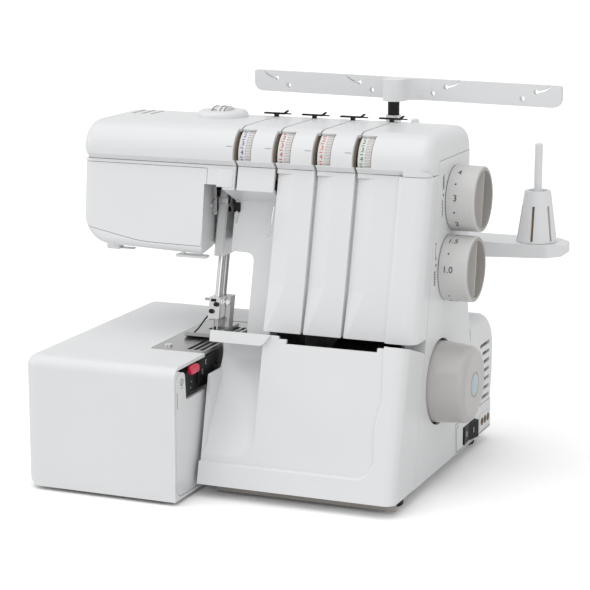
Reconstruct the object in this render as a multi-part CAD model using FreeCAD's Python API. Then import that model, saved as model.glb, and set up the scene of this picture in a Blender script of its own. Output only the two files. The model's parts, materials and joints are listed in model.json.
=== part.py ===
import FreeCAD, Part
import math
import os

# Overlock sewing machine, in millimetres.
# X runs right from the right-hand side plane and Y runs back from the front foot line.
# Z runs up from the floor.
# The finished pieces are moved so that the origin is the middle of the footprint.
V = FreeCAD.Vector

# Shared fits
WALL = 2.6
SEAM = 0.4
RUN_FIT = 0.05
PLAY = 0.3
REACH = 400.0

# Upper body: arm, column and lid
BODY_TOP = 262.0
BODY_LEFT = -281.0
BODY_BACK = 174.0
ARM_HEIGHT = 96.0
ARM_FOOT_LEFT = -275.5
ARM_FOOT_RISE = 4.0
COLUMN_LEFT = -144.0
COLUMN_BOTTOM = 104.0
FRONT_FOOT_Y = 50.0
FRONT_FOOT_Z = 116.6
FRONT_LEAN = 0.244
LID_HEIGHT = 19.0
LIP_HEIGHT = 28.5
LIP_CHAMFER = 4.0
LIP_BACK = 95.0
LID_FRONT_RADIUS = 22.0
LID_BACK_RADIUS = 18.0
LID_END_RADIUS = 9.0
ARM_CORNER_RADIUS = 24.0
THROAT_RADIUS = 6.0
FRONT_EDGE_RADIUS = 5.0
BACK_EDGE_RADIUS = 8.0
SPLIT_BACK = 121.0
LID_VENT_COUNT = 3
LID_VENT_PITCH = 8.0
ARM_BOTTOM = BODY_TOP - ARM_HEIGHT
ARM_FOOT_BOTTOM = ARM_BOTTOM + ARM_FOOT_RISE
LID_SEAM = BODY_TOP - LID_HEIGHT
LIP_BOTTOM = BODY_TOP - LIP_HEIGHT

# Needle recess in the arm's front
RECESS_LEFT = -165.0
RECESS_HEIGHT = 50.0
RECESS_CEILING_RUN = 12.0
RECESS_DEPTH = 28.0
POCKET_MOUTH = -174.0
POCKET_LEFT = -186.0
POCKET_RIGHT = -163.0
POCKET_FRONT = 55.0
POCKET_TURN = 114.0
POCKET_BACK = 136.0
POCKET_RISE = 3.0
RECESS_TOP = ARM_BOTTOM + RECESS_HEIGHT
POCKET_TOP = RECESS_TOP + POCKET_RISE

# Flat face plate on the arm
FACE_RIGHT = -176.5
FACE_TOP_MARGIN = 3.0
FACE_FOOT_MARGIN = 7.7
FACE_BEND_X = -227.0
FACE_BEND_RISE = 0.7
FACE_BEND_RADIUS = 120.0
FACE_LEFT_RISE = 10.8
FACE_THICKNESS = 2.0
FACE_TOP = LIP_BOTTOM - FACE_TOP_MARGIN
FACE_BOTTOM = ARM_BOTTOM + FACE_FOOT_MARGIN
FACE_BEND_Z = FACE_BOTTOM + FACE_BEND_RISE
FACE_LEFT_Z = FACE_BOTTOM + FACE_LEFT_RISE

# Tension front with its ribs and thread slots
TENSION_COUNT = 4
TENSION_PITCH = 31.5
FIRST_SLOT = -151.5
SLOT_WIDTH = 3.2
SLOT_FOOT_WIDTH = 2.0
SLOT_DEPTH = 6.0
SLOT_BACK = 152.0
SLIT_WIDTH = 1.4
PANEL_WALL = 9.0
RIB_FACET_WIDTH = 14.0
RIB_FACET_DEPTH = 3.5
RIB_FACET_FOOT = 150.0
SIDE_SEAM_LOW_Y = 46.0
SIDE_SEAM_LOW_Z = 9.5
SIDE_SEAM_MID_Y = 69.5
SIDE_SEAM_MID_Z = 114.5
SIDE_SEAM_TOP_Y = 93.0
RIM_LEFT = -25.0
RIM_RUN = 4.0

# Tension dials on one spindle
DIAL_Y = 98.6
DIAL_SINK = 21.4
DIAL_RADIUS = 20.5
DIAL_WIDTH = 11.2
DIAL_ROOM = 0.4
DIAL_TEETH = 60
DIAL_OPENING = 60.0
WINDOW_SILL = 4.5
SPINDLE_RADIUS = 3.0
DISC_RADIUS = 9.0
DISC_THICKNESS = 0.8
DIAL_Z = BODY_TOP - DIAL_SINK
WINDOW_BOTTOM = LIP_BOTTOM + WINDOW_SILL

# Presser pressure dial on the lid
PRESSURE_X = -192.0
PRESSURE_Y = 141.0
PRESSURE_SINK = 8.0
PRESSURE_RADIUS = 16.0
PRESSURE_WIDTH = 13.0
PRESSURE_DOME = 20.0
PRESSURE_DOME_HEIGHT = 5.0
PRESSURE_PIN_RADIUS = 2.0
PRESSURE_EAR = 4.0
PRESSURE_Z = BODY_TOP - PRESSURE_SINK

# Right-hand side cover, its dials and the handwheel
SIDE_DEPTH = 16.0
SIDE_BACK_STEP = 4.0
SIDE_BACK_LOW = BODY_BACK + SIDE_BACK_STEP
STITCH_Y = 133.0
STITCH_DROP = 51.0
FEED_Y = 118.0
KNOB_STEP = 50.0
KNOB_RADIUS = 24.5
KNOB_FACE = 22.0
KNOB_DISH_RADIUS = 21.3
KNOB_DISH_DEPTH = 6.0
KNOB_GRIP_WIDTH = 9.0
KNOB_GRIP_TOP = 2.0
KNOB_GRIP_TILT = -8.0
KNOB_GAP = 0.6
KNOB_POST_RADIUS = 4.0
STITCH_Z = BODY_TOP - STITCH_DROP
FEED_Z = STITCH_Z - KNOB_STEP
SHAFT_Y = 103.0
SHAFT_Z = 77.5
SHAFT_RADIUS = 5.0
SHAFT_PROUD = 1.0
SHAFT_SUNK = 8.0
ECCENTRIC_GAP = 6.0
ECCENTRIC_WIDTH = 10.0
ECCENTRIC_THROW = 3.0
ECCENTRIC_WALL = 6.0
WHEEL_RADIUS = 31.0
WHEEL_FACE_RADIUS = 28.5
WHEEL_BACK = -5.0
WHEEL_GAP = 1.5
WHEEL_FACE = 27.0
WHEEL_EDGE_RADIUS = 6.0
WHEEL_CAP_RADIUS = 8.5

# Motor cover at the back, power plate, switch and inlet
MOTOR_COVER_TOP = 106.0
MOTOR_COVER_BACK = 244.0
MOTOR_COVER_RADIUS = 30.0
MOTOR_COVER_TAPER = 8.0
LOWER_LEFT = -144.0
LOWER_FRONT = 100.0
VENT_COUNT = 7
VENT_LOW = 38.0
VENT_PITCH = 7.15
VENT_HEIGHT = 2.8
VENT_ARC_Y = 183.0
VENT_ARC_Z = 56.0
VENT_ARC_RADIUS = 33.0
VENT_BACK = 238.0
PLATE_FRONT = 143.0
PLATE_BACK = 233.0
PLATE_TOP = 33.0
PLATE_STEP = 0.8
SWITCH_Y = 176.0
SWITCH_Z = 19.6
SWITCH_LENGTH = 28.0
SWITCH_HEIGHT = 14.0
SWITCH_DEPTH = 9.0
SWITCH_TILT = 7.0
SWITCH_PIN_RADIUS = 1.2
SWITCH_PIN_LENGTH = 1.5
SWITCH_PIVOT_X = (PLATE_STEP - WALL) / 2
INLET_Y = 217.0
INLET_LENGTH = 28.0
INLET_HEIGHT = 13.0
INLET_DEPTH = 16.0
INLET_PINS = 3

# Base tray and feet
FOOT_HEIGHT = 7.0
FOOT_RADIUS = 9.0
FOOT_INSET = 12.0
TRAY_FRONT = 17.0
TRAY_BACK = 231.0
TRAY_LEFT = -146.0
TRAY_DEPTH = 5.0
TRAY_FLOOR = 3.0

# Front looper cover on its hinge rod
COVER_LEFT = -152.0
COVER_LEAN = 0.239
COVER_TOP = 119.0
COVER_BOTTOM = 9.8
COVER_SIDE_TOP = 105.5
COVER_CORNER_RUN = 6.0
COVER_CORNER_RISE = 3.0
COVER_EDGE_RADIUS = 8.0
NOTCH_LEFT = -99.0
NOTCH_RIGHT = -17.0
NOTCH_BOTTOM = 113.3
NOTCH_RUN = 6.0
NOTCH_STEP = 116.4
DISH_RIGHT = -17.0
DISH_BOTTOM = 26.2
DISH_TOP = 111.0
DISH_DEPTH = 3.2
DISH_RADIUS = 14.0
DISH_EDGE_RADIUS = 1.6
DISH_WAIST = -20.0
DISH_WAIST_Z = 62.0
DISH_BULGE = -15.5
DISH_BULGE_Z = 82.0
DISH_WAVE_RADIUS = 40.0
CHUTE_RIGHT = -111.0
CHUTE_TOP = 111.5
CHUTE_BACK = 50.0
CHUTE_FLOOR = 96.0
CHUTE_FOOT = 31.0
CHUTE_SIDE_TOP = 88.0
CHUTE_CORNER = 16.0
CHUTE_RADIUS = 12.0
LIP_DEPTH = 5.0
HINGE_Y = 7.5
HINGE_Z = 12.5
HINGE_ROD_RADIUS = 1.8
SLEEVE_RADIUS = 2.9
KNUCKLE_WIDTH = 10.0
COVER_SLIDE = 8.0
BRACKET_WIDTH = 4.0
BRACKET_WALL = 0.8
BRACKET_RIGHT = -WALL - 1.5
SLEEVE_LEFT = TRAY_LEFT + BRACKET_WIDTH + 1
SLEEVE_RIGHT = BRACKET_RIGHT - BRACKET_WIDTH - COVER_SLIDE - 1
KNUCKLE_INSET = 18.0
KNUCKLE_PLACES = (SLEEVE_LEFT + KNUCKLE_INSET, SLEEVE_RIGHT - KNUCKLE_INSET - KNUCKLE_WIDTH)

# Free arm, needle plate and slide-on table
BED_TOP = 102.0
PLATE_THICKNESS = 2.8
FREE_ARM_LEFT = -266.0
FREE_ARM_RIGHT = -161.0
FREE_ARM_FRONT = 34.0
FREE_ARM_BACK = 132.0
FREE_ARM_BOTTOM = 60.0
NEEDLE_PLATE_LEFT = -200.0
NEEDLE_PLATE_RIGHT = -158.6
NEEDLE_PLATE_FRONT = 25.0
NEEDLE_PLATE_BACK = 130.0
FEED_SLOT_FRONT = 32.0
FEED_SLOT_BACK = 114.0
FEED_SLOT_WIDTH = 3.4
FEED_SLOT_PITCH = 5.0
FEED_SLOT_COUNT = 3
FEED_SLOT_LAST = -162.0
FEED_DOG_FRONT = 66.0
FEED_DOG_BACK = 108.0
TABLE_END_ROOM = 12.0
TABLE_LEFT = FREE_ARM_LEFT - TABLE_END_ROOM
TABLE_RIGHT = -155.6
TABLE_FRONT = -28.0
TABLE_BACK = 184.0
TABLE_BOTTOM = 3.0
TABLE_WALL = 2.5
TABLE_RADIUS = 10.0
TABLE_FOOT_RADIUS = 12.0
TABLE_WALL_BACK = 30.0
TABLE_NOTCH_FRONT = -10.0
TABLE_NOTCH_BOTTOM = 75.0
TABLE_NOTCH_DROP = 4.0
TABLE_RIM = 2.2
TABLE_GROOVE = 0.7
TABLE_GROOVE_DEPTH = 1.0
TABLE_GROOVE_RADIUS = 9.0
TABLE_SLOT_LOW = 71.0
TABLE_SLOT_HIGH = 83.5
BAY_THICKNESS = 2.4
BAY_FRONT = -9.0
BAY_BACK = 46.0
BAY_BOTTOM = 77.0
BUTTON_Y = 3.0
BUTTON_Z = 95.4
BUTTON_RADIUS = 3.2
BUTTON_LENGTH = 14.0
BUTTON_PROUD = 3.4
BUTTON_TRAVEL = 2.0

# Needle bar and presser bar, both leaning with the front
BAR_X = -178.0
BAR_FOOT_Y = 93.0
BAR_FOOT_Z = 107.0
BAR_RADIUS = 2.4
BAR_HEADROOM = 6.0
BAR_TOP = LID_SEAM - BAR_HEADROOM
BAR_BOTTOM = 120.0
PRESSER_X = BAR_X
PRESSER_RADIUS = 2.8
PRESSER_SET_BACK = 9.0
PRESSER_BOTTOM = 112.0
CLAMP_TOP = 129.0
CLAMP_BOTTOM = 113.0
CLAMP_WIDTH = 9.0
CLAMP_DEPTH = 11.0
NEEDLE_RADIUS = 0.9
NEEDLE_TIP = 97.0
NEEDLE_SPACING = 3.4
FOOT_SOLE = 2.6
FOOT_LEFT = -192.0
FOOT_TOE = 64.0
FOOT_HEEL = 118.0
FOOT_TOE_RADIUS = 5.0
SHANK_TOP = 128.0
SHANK_LEFT = 4.0
SHANK_RIGHT = 8.5
FOOT_RIGHT = -168.0
GUIDE_BLOCK_WIDTH = 8.0
GUIDE_BLOCK_CHAMFER = 1.2
GUIDE_BLOCK_AHEAD = 7.0
GUIDE_BLOCK_BEHIND = 14.0
GUIDE_BLOCK_DROP = 6.0
GUIDE_BLOCK_HEIGHT = 39.0
GUIDE_BLOCK_BOTTOM = ARM_BOTTOM - GUIDE_BLOCK_DROP
GUIDE_BLOCK_TOP = GUIDE_BLOCK_BOTTOM + GUIDE_BLOCK_HEIGHT

# Rocking shaft that drives the needle bar
ROCKER_BACK_ROOM = 24.0
ROCKER_Y = BODY_BACK - ROCKER_BACK_ROOM
ROCKER_RISE = 39.0
ROCKER_Z = ARM_BOTTOM + ROCKER_RISE
ROCKER_RADIUS = 4.0
ROCKER_LEFT = -206.0
ROCKER_BOSS_RADIUS = 9.0
ROCKER_ARM_WIDTH = 5.0
ROCKER_ARM_LEFT = -190.0
ROCKER_SWING_DOWN = 5.0
ROCKER_SWING_UP = 25.0
SWING_ROOM = 14.0
CRANK_PIN_RADIUS = 2.0
CRANK_PIN_ROOM = 0.8

# Loopers and knives
LOOPER_Y = 77.0
LOOPER_THICKNESS = 3.0
LOOPER_BOSS_RADIUS = 7.0
LOOPER_PIN_RADIUS = 4.0
LOWER_LOOPER_X = -152.0
LOWER_LOOPER_Z = 54.0
UPPER_LOOPER_X = -137.0
UPPER_LOOPER_Z = 60.0
KNIFE_FRONT = 60.0
KNIFE_BACK = 72.0
KNIFE_THICKNESS = 2.0
LOWER_KNIFE_X = -160.5
KNIFE_TOP = 112.0
KNIFE_POST_X = -150.0
KNIFE_POST_RADIUS = 3.0
KNIFE_POST_BOTTOM = 26.0

# Frame casting, motor and belt
DECK_TOP = 16.0
FRAME_FRONT = 90.0
FRAME_BACK_ROOM = 9.0
FRAME_BACK = BODY_BACK - FRAME_BACK_ROOM
FRAME_HEADROOM = 7.0
FRAME_TOP = LID_SEAM - FRAME_HEADROOM
RIGHT_WALL_X = -26.0
LEFT_WALL_X = -140.0
FRAME_WALL = 7.0
BEAM_BACK_ROOM = 14.0
BEAM_GAP = 12.9
BEAM_BACK = BODY_BACK - BEAM_BACK_ROOM
BEAM_FRONT = DIAL_Y + DIAL_RADIUS + BEAM_GAP
BEAM_HEIGHT = 10.0
BEAM_LEFT = -264.0
HEAD_WALL_X = -200.0
LUG_HEIGHT = 8.0
LUG_BEHIND = 12.0
UPPER_LUG_DROP = 10.5
LOWER_LUG_RISE = 3.0
UPPER_LUG_BOTTOM = FRAME_TOP - UPPER_LUG_DROP
LOWER_LUG_BOTTOM = ARM_BOTTOM + LOWER_LUG_RISE
BUSH_WALL = 2.5
BAR_BUSH_WALL = 1.2
LUG_FRONT = BAR_FOOT_Y + FRONT_LEAN * (LOWER_LUG_BOTTOM - BAR_FOOT_Z) + 1
BED_BEAM_FRONT = 108.5
BED_BEAM_BACK = 126.0
BED_BEAM_TOP = 72.0
KNIFE_BRACKET_TOP = 42.0
KNIFE_BRACKET_BOTTOM = 34.0
MOTOR_Y = 205.0
MOTOR_Z = 52.0
MOTOR_RADIUS = 27.0
MOTOR_LEFT = -120.0
MOTOR_RIGHT = -50.0
PULLEY_LEFT = -44.0
PULLEY_WIDTH = 9.0
SHAFT_PULLEY_RADIUS = 30.0
MOTOR_PULLEY_RADIUS = 9.0
BELT_THICKNESS = 2.4
BELT_ROOM = 0.1

# Presser lifter behind the arm
LIFTER_X = -232.0
LIFTER_RISE = 26.0
LIFTER_Z = ARM_BOTTOM + LIFTER_RISE
LIFTER_THICKNESS = 4.0
LIFTER_LENGTH = 38.0
LIFTER_BOSS_RADIUS = 8.0
LIFTER_PIN_RADIUS = 3.5

# Thread stand: spool plate, pins, cones, telescopic pole and guide bar
STAND_X = -67.0
STAND_SET_BACK = 26.0
STAND_Y = BODY_BACK + STAND_SET_BACK
STAND_TOP = 170.0
STAND_THICKNESS = 13.0
STAND_TIP_THICKNESS = 9.0
STAND_HALF = 136.0
STAND_DEPTH = 38.0
STAND_CORNER = 11.0
STAND_ROOT_WIDTH = 86.0
SPOOL_PITCH = 74.5
SPOOL_COUNT = 4
SPOOL_PIN_RADIUS = 3.0
SPOOL_PIN_TOP = 245.5
CONE_HEIGHT = 39.0
CONE_BASE_RADIUS = 15.5
CONE_TOP_RADIUS = 10.0
CONE_WALL = 2.4
CONE_MOUTH = 3.0
CONE_SLOT_WIDTH = 2.0
CONE_SLOT_TOP = 28.0
CONE_SLOT_COUNT = 6
POLE_SET_BACK = 10.0
POLE_Y = BODY_BACK + POLE_SET_BACK
POLE_RADIUS = 6.0
POLE_ROD_RADIUS = 4.5
POLE_PROUD = 2.0
POLE_TOP = BODY_TOP + POLE_PROUD
POLE_BOTTOM = 118.0
GUIDE_GAP = 10.8
GUIDE_BOTTOM = POLE_TOP + GUIDE_GAP
GUIDE_HEIGHT = 16.6
GUIDE_HALF = 132.0
GUIDE_THICKNESS = 4.4
GUIDE_TURN = -7.0
GUIDE_CORNER_RADIUS = 7.0
GUIDE_BOSS_RADIUS = 8.5
GUIDE_BOSS_FAIRING = 16.0
GUIDE_SLIT_RADIUS = 15.7
GUIDE_SLIT_WIDTH = 1.2
GUIDE_HOLE_RADIUS = 2.0
GUIDE_HOLE_STEP = 11.0

# Small thread guides on the lid and the cover screws
TOP_GUIDE_Y = 152.5
TOP_GUIDE_WIDTH = 20.0
TOP_GUIDE_HEIGHT = 2.0
TOP_GUIDE_STRIP = 1.2
SCREW_RADIUS = 3.0
SCREW_HEAD = 1.2
SCREW_DROP = 18.0
SCREW_LEFT_INSET = 20.0
SCREW_COLUMN_INSET = 16.0
SCREW_RIGHT_INSET = 14.0

# Middle of the footprint, which becomes the origin
MIDDLE_X = (BODY_LEFT + STAND_X + STAND_HALF) / 2
MIDDLE_Y = (TABLE_FRONT + MOTOR_COVER_BACK) / 2
ORIGIN_SHIFT = V(-MIDDLE_X, -MIDDLE_Y, 0)
LEAN_ANGLE = math.degrees(math.atan(FRONT_LEAN))
LEAN_STRETCH = math.hypot(1, FRONT_LEAN)
BAR_AXIS = V(0, FRONT_LEAN, 1).normalize()


def front_y(z):
    """Depth of the leaning upper front at a height."""
    return FRONT_FOOT_Y + FRONT_LEAN * (z - FRONT_FOOT_Z)


def cover_y(z):
    """Depth of the looper cover's leaning face at a height."""
    return COVER_LEAN * (z - FOOT_HEIGHT)


def side_seam_y(z):
    """Depth of the seam on the right-hand side at a height."""
    if z < SIDE_SEAM_MID_Z:
        share = (z - SIDE_SEAM_LOW_Z) / (SIDE_SEAM_MID_Z - SIDE_SEAM_LOW_Z)
        return SIDE_SEAM_LOW_Y + share * (SIDE_SEAM_MID_Y - SIDE_SEAM_LOW_Y)
    share = (z - SIDE_SEAM_MID_Z) / (LIP_BOTTOM - SIDE_SEAM_MID_Z)
    return SIDE_SEAM_MID_Y + share * (SIDE_SEAM_TOP_Y - SIDE_SEAM_MID_Y)


def bar_y(z):
    """Depth of the needle bar's axis at a height."""
    return BAR_FOOT_Y + FRONT_LEAN * (z - BAR_FOOT_Z)


def slot_x(index):
    """Right-hand edge of a thread slot, counted from the left."""
    return FIRST_SLOT + index * TENSION_PITCH


def spool_x(index):
    """Place of a spool pin along the stand, counted from the left."""
    return STAND_X + (index - (SPOOL_COUNT - 1) / 2) * SPOOL_PITCH


def place(axis, a, b, level):
    """Point with two in-plane coordinates and a level along the axis."""
    if axis == "x":
        return V(level, a, b)
    if axis == "y":
        return V(a, level, b)
    return V(a, b, level)


def along(axis, length):
    """Vector of a given length along an axis."""
    return place(axis, 0, 0, length)


def rounded_wire(axis, points, level):
    """Closed outline through (a, b) or (a, b, radius) corners, with each corner rounded by its radius."""
    starts = []
    middles = []
    ends = []
    count = len(points)
    for index, point in enumerate(points):
        here = V(point[0], point[1], 0)
        radius = point[2] if len(point) > 2 else 0
        back = V(points[index - 1][0], points[index - 1][1], 0) - here
        ahead = V(points[(index + 1) % count][0], points[(index + 1) % count][1], 0) - here
        back.normalize()
        ahead.normalize()
        half = back.getAngle(ahead) / 2
        cut = radius / math.tan(half)
        inward = (back + ahead).normalize() if radius else V()
        starts.append(here + back * cut)
        middles.append(here + inward * (radius / math.sin(half) - radius))
        ends.append(here + ahead * cut)
    edges = []
    for index in range(count):
        before = place(axis, ends[index - 1].x, ends[index - 1].y, level)
        start = place(axis, starts[index].x, starts[index].y, level)
        middle = place(axis, middles[index].x, middles[index].y, level)
        end = place(axis, ends[index].x, ends[index].y, level)
        if before.distanceToPoint(start) > 1e-6:
            edges.append(Part.LineSegment(before, start).toShape())
        if start.distanceToPoint(end) > 1e-6:
            edges.append(Part.Arc(start, middle, end).toShape())
    return Part.Wire(edges)


def prism(axis, points, low, high):
    """Solid from an outline drawn across an axis, between two levels along it."""
    return Part.Face(rounded_wire(axis, points, low)).extrude(along(axis, high - low))


def box(x0, x1, y0, y1, z0, z1):
    """Square block between two corners."""
    return Part.makeBox(x1 - x0, y1 - y0, z1 - z0, V(x0, y0, z0))


def rod(axis, low, high, a, b, radius):
    """Round bar along an axis."""
    return Part.makeCylinder(radius, high - low, place(axis, a, b, low), along(axis, 1))


def tube(axis, low, high, a, b, outer, inner):
    """Round bar with a bore."""
    return rod(axis, low, high, a, b, outer).cut(rod(axis, low - 1, high + 1, a, b, inner))


def bar_rod(x, set_back, z0, z1, radius):
    """Round bar along the needle bar's lean."""
    start = V(x, bar_y(z0) + set_back, z0)
    return Part.makeCylinder(radius, (z1 - z0) * LEAN_STRETCH, start, BAR_AXIS)


def rectangle(a0, a1, b0, b1, radius=0):
    """Corners of a rectangle with one radius."""
    return [(a0, b0, radius), (a1, b0, radius), (a1, b1, radius), (a0, b1, radius)]


def soften(shape, radius, chosen):
    """Round the edges that a test picks."""
    return shape.makeFillet(radius, [edge for edge in shape.Edges if chosen(edge)])


def fused(pieces):
    """One solid from overlapping pieces."""
    return pieces[0].multiFuse(pieces[1:]).removeSplitter()


def front_slab(x0, x1, z0, z1, ahead, behind):
    """Layer that follows the leaning front, from ahead of it to behind it."""
    outline = [(front_y(z0) - ahead, z0), (front_y(z1) - ahead, z1)]
    outline += [(front_y(z1) + behind, z1), (front_y(z0) + behind, z0)]
    return prism("x", outline, x0, x1)


def edge_on(edge, test):
    """True where both ends of an edge pass a test."""
    return all(test(vertex.Point) for vertex in edge.Vertexes)


def lid_profile(inset):
    """Outline of the lid across the machine, drawn in by an inset."""
    front = front_y(LIP_BOTTOM) - LIP_CHAMFER + inset
    outline = [(front + LIP_CHAMFER, LIP_BOTTOM), (front, LIP_BOTTOM + LIP_CHAMFER)]
    outline.append((front, BODY_TOP - inset, LID_FRONT_RADIUS - inset))
    outline.append((BODY_BACK - inset, BODY_TOP - inset, LID_BACK_RADIUS - inset))
    outline += [(BODY_BACK - inset, LID_SEAM), (LIP_BACK, LID_SEAM), (LIP_BACK, LIP_BOTTOM)]
    return outline


def dial_opening(index):
    """Wedge cut out of the lid so that a tension dial shows."""
    x = slot_x(index)
    rise = math.tan(math.radians(DIAL_OPENING)) * LIP_BACK
    front = DIAL_Y - LIP_BACK
    wedge = [(DIAL_Y, DIAL_Z), (front, DIAL_Z + rise), (front, WINDOW_BOTTOM), (DIAL_Y, WINDOW_BOTTOM)]
    window = prism("x", wedge, x - SLOT_WIDTH, x + DIAL_WIDTH + DIAL_ROOM)
    return window.fuse(box(x - SLOT_FOOT_WIDTH, x, front, DIAL_Y, LIP_BOTTOM - 1, DIAL_Z + 1))


def dial_room(index):
    """Space that a tension dial turns in."""
    x0 = slot_x(index) - DIAL_ROOM
    return rod("x", x0, slot_x(index) + DIAL_WIDTH + DIAL_ROOM, DIAL_Y, DIAL_Z, DIAL_RADIUS + DIAL_ROOM)


def lid_block(inset):
    """Solid of the lid with rounded ends, drawn in by an inset."""
    ends = (BODY_LEFT + inset, -inset)
    block = prism("x", lid_profile(inset), ends[0], ends[1])

    def end_edge(edge):
        on_end = any(edge_on(edge, lambda p, x=x: abs(p.x - x) < 1e-6) for x in ends)
        at_seam = edge_on(edge, lambda p: p.z < LID_SEAM + 1e-6 and p.y > front_y(LIP_BOTTOM) - 1e-6)
        return on_end and not at_seam

    return soften(block, LID_END_RADIUS - inset, end_edge)


def lip_over_rim():
    """Piece that squares the lid's chamfered lip over the rim of the tension front."""
    front = front_y(LIP_BOTTOM) - LIP_CHAMFER
    left = RIM_LEFT + RIM_RUN
    wedge = [(front, LIP_BOTTOM), (front + LIP_CHAMFER + WALL, LIP_BOTTOM)]
    wedge += [(front + WALL, LIP_BOTTOM + LIP_CHAMFER), (front, LIP_BOTTOM + LIP_CHAMFER)]
    plan = [(left, front), (0, front, LID_END_RADIUS), (0, LIP_BACK), (left, LIP_BACK)]
    return prism("x", wedge, left, 0).common(prism("z", plan, 0, REACH))


def top_cover():
    """Lid over arm and column, with dial openings, thread slots, dome and vents."""
    lid = lid_block(0)
    dome = rod("z", BODY_TOP - LID_BACK_RADIUS, BODY_TOP + PRESSURE_DOME_HEIGHT, PRESSURE_X, PRESSURE_Y,
               PRESSURE_DOME)
    dome = soften(dome, PRESSURE_DOME_HEIGHT - 1, lambda edge: edge_on(edge, lambda p: p.z > BODY_TOP))
    lid = lid.fuse(dome)
    lid = lid.cut(lid_block(WALL)).fuse(lip_over_rim())
    half = PRESSURE_WIDTH / 2 + DIAL_ROOM
    for x in (PRESSURE_X - half - PRESSURE_EAR, PRESSURE_X + half):
        ear = box(x, x + PRESSURE_EAR, PRESSURE_Y - PRESSURE_EAR, PRESSURE_Y + PRESSURE_EAR,
                  PRESSURE_Z - PRESSURE_EAR, BODY_TOP - WALL / 2)
        lid = lid.fuse(ear.cut(rod("x", -REACH, 0, PRESSURE_Y, PRESSURE_Z, PRESSURE_PIN_RADIUS + RUN_FIT)))
    well = rod("x", PRESSURE_X - PRESSURE_WIDTH / 2 - DIAL_ROOM,
               PRESSURE_X + PRESSURE_WIDTH / 2 + DIAL_ROOM,
               PRESSURE_Y, PRESSURE_Z, PRESSURE_RADIUS + DIAL_ROOM)
    lid = lid.cut(well)
    for index in range(TENSION_COUNT):
        x = slot_x(index)
        lid = lid.cut(dial_opening(index))
        lid = lid.cut(dial_room(index))
        lid = lid.cut(box(x - SLIT_WIDTH, x, DIAL_Y - 20, SLOT_BACK, BODY_TOP - LID_BACK_RADIUS,
                          BODY_TOP + 1))
    for index in range(LID_VENT_COUNT):
        x = BODY_LEFT + 14 + index * LID_VENT_PITCH
        lid = lid.cut(box(x, x + WALL, BEAM_FRONT, BEAM_BACK, BODY_TOP - WALL - 1, BODY_TOP + 1))
    return lid


def arm_outline(inset):
    """Front view of arm and column, drawn in by an inset and left open towards the right."""
    outline = [(BODY_LEFT + inset, LID_SEAM - SEAM)]
    outline.append((ARM_FOOT_LEFT + inset, ARM_FOOT_BOTTOM + inset, ARM_CORNER_RADIUS - inset))
    outline += [(COLUMN_LEFT + inset, ARM_BOTTOM + inset, THROAT_RADIUS + inset), (COLUMN_LEFT + inset,
                                                                                   COLUMN_BOTTOM)]
    outline += [(0, COLUMN_BOTTOM), (0, LID_SEAM - SEAM)]
    return outline


def arm_section(inset):
    """Side view of arm and column, drawn in by an inset from front and back."""
    front = inset * LEAN_STRETCH
    outline = [(front_y(COLUMN_BOTTOM) + front, COLUMN_BOTTOM)]
    outline.append((front_y(LIP_BOTTOM - SEAM) + front, LIP_BOTTOM - SEAM))
    outline += [(LIP_BACK + SEAM, LIP_BOTTOM - SEAM), (LIP_BACK + SEAM, LID_SEAM - SEAM)]
    outline += [(BODY_BACK - inset, LID_SEAM - SEAM), (BODY_BACK - inset, COLUMN_BOTTOM)]
    return outline


def recess(wall):
    """Hollow in the arm's front for the needle bar, grown by a wall."""
    back = RECESS_DEPTH + wall
    low = COLUMN_BOTTOM - 1
    high = RECESS_TOP + wall
    deep = RECESS_TOP - RECESS_CEILING_RUN + wall
    outline = [(0, low), (0, high), (front_y(high), high), (front_y(deep) + back, deep),
               (front_y(low) + back, low)]
    wide = prism("x", outline, RECESS_LEFT - wall, slot_x(1) + 1)
    plan = [(POCKET_MOUTH - wall, POCKET_FRONT), (POCKET_LEFT - wall, POCKET_TURN)]
    plan.append((POCKET_LEFT - wall, POCKET_BACK + wall))
    plan += [(POCKET_RIGHT + wall, POCKET_BACK + wall), (POCKET_RIGHT + wall, POCKET_FRONT)]
    return wide.fuse(prism("z", plan, COLUMN_BOTTOM, POCKET_TOP + wall))


def arm_shell():
    """Hollow shell of arm and column below the lid, before it is split into covers."""
    outer = prism("x", arm_section(0), BODY_LEFT, 0).common(prism("y", arm_outline(0), 0, BODY_BACK))
    on_front = lambda p: abs(p.y - front_y(p.z)) < 1e-4
    on_back = lambda p: abs(p.y - BODY_BACK) < 1e-4
    inside_left = lambda p: p.x < -1

    def open_edge(edge):
        middle = edge.CenterOfMass
        low_or_high = abs(middle.z - COLUMN_BOTTOM) < 1e-3 or middle.z > LIP_BOTTOM - 2 * SEAM
        return edge_on(edge, inside_left) and not low_or_high

    outer = soften(outer, FRONT_EDGE_RADIUS, lambda edge: open_edge(edge) and edge_on(edge, on_front))
    outer = soften(outer, BACK_EDGE_RADIUS,
                   lambda edge: edge_on(edge, inside_left) and edge_on(edge, on_back)
                   and COLUMN_BOTTOM + 1 < edge.CenterOfMass.z < LID_SEAM - 2 * SEAM)
    inner_section = arm_section(WALL)
    inner = prism("x", inner_section, BODY_LEFT, 1).common(prism("y", arm_outline(WALL), 0, BODY_BACK))
    inner = inner.fuse(box(-WALL - 1, 1, POCKET_FRONT, BODY_BACK - WALL, COLUMN_BOTTOM, LID_SEAM))
    return outer.cut(inner.cut(recess(WALL))).cut(recess(0))


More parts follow.
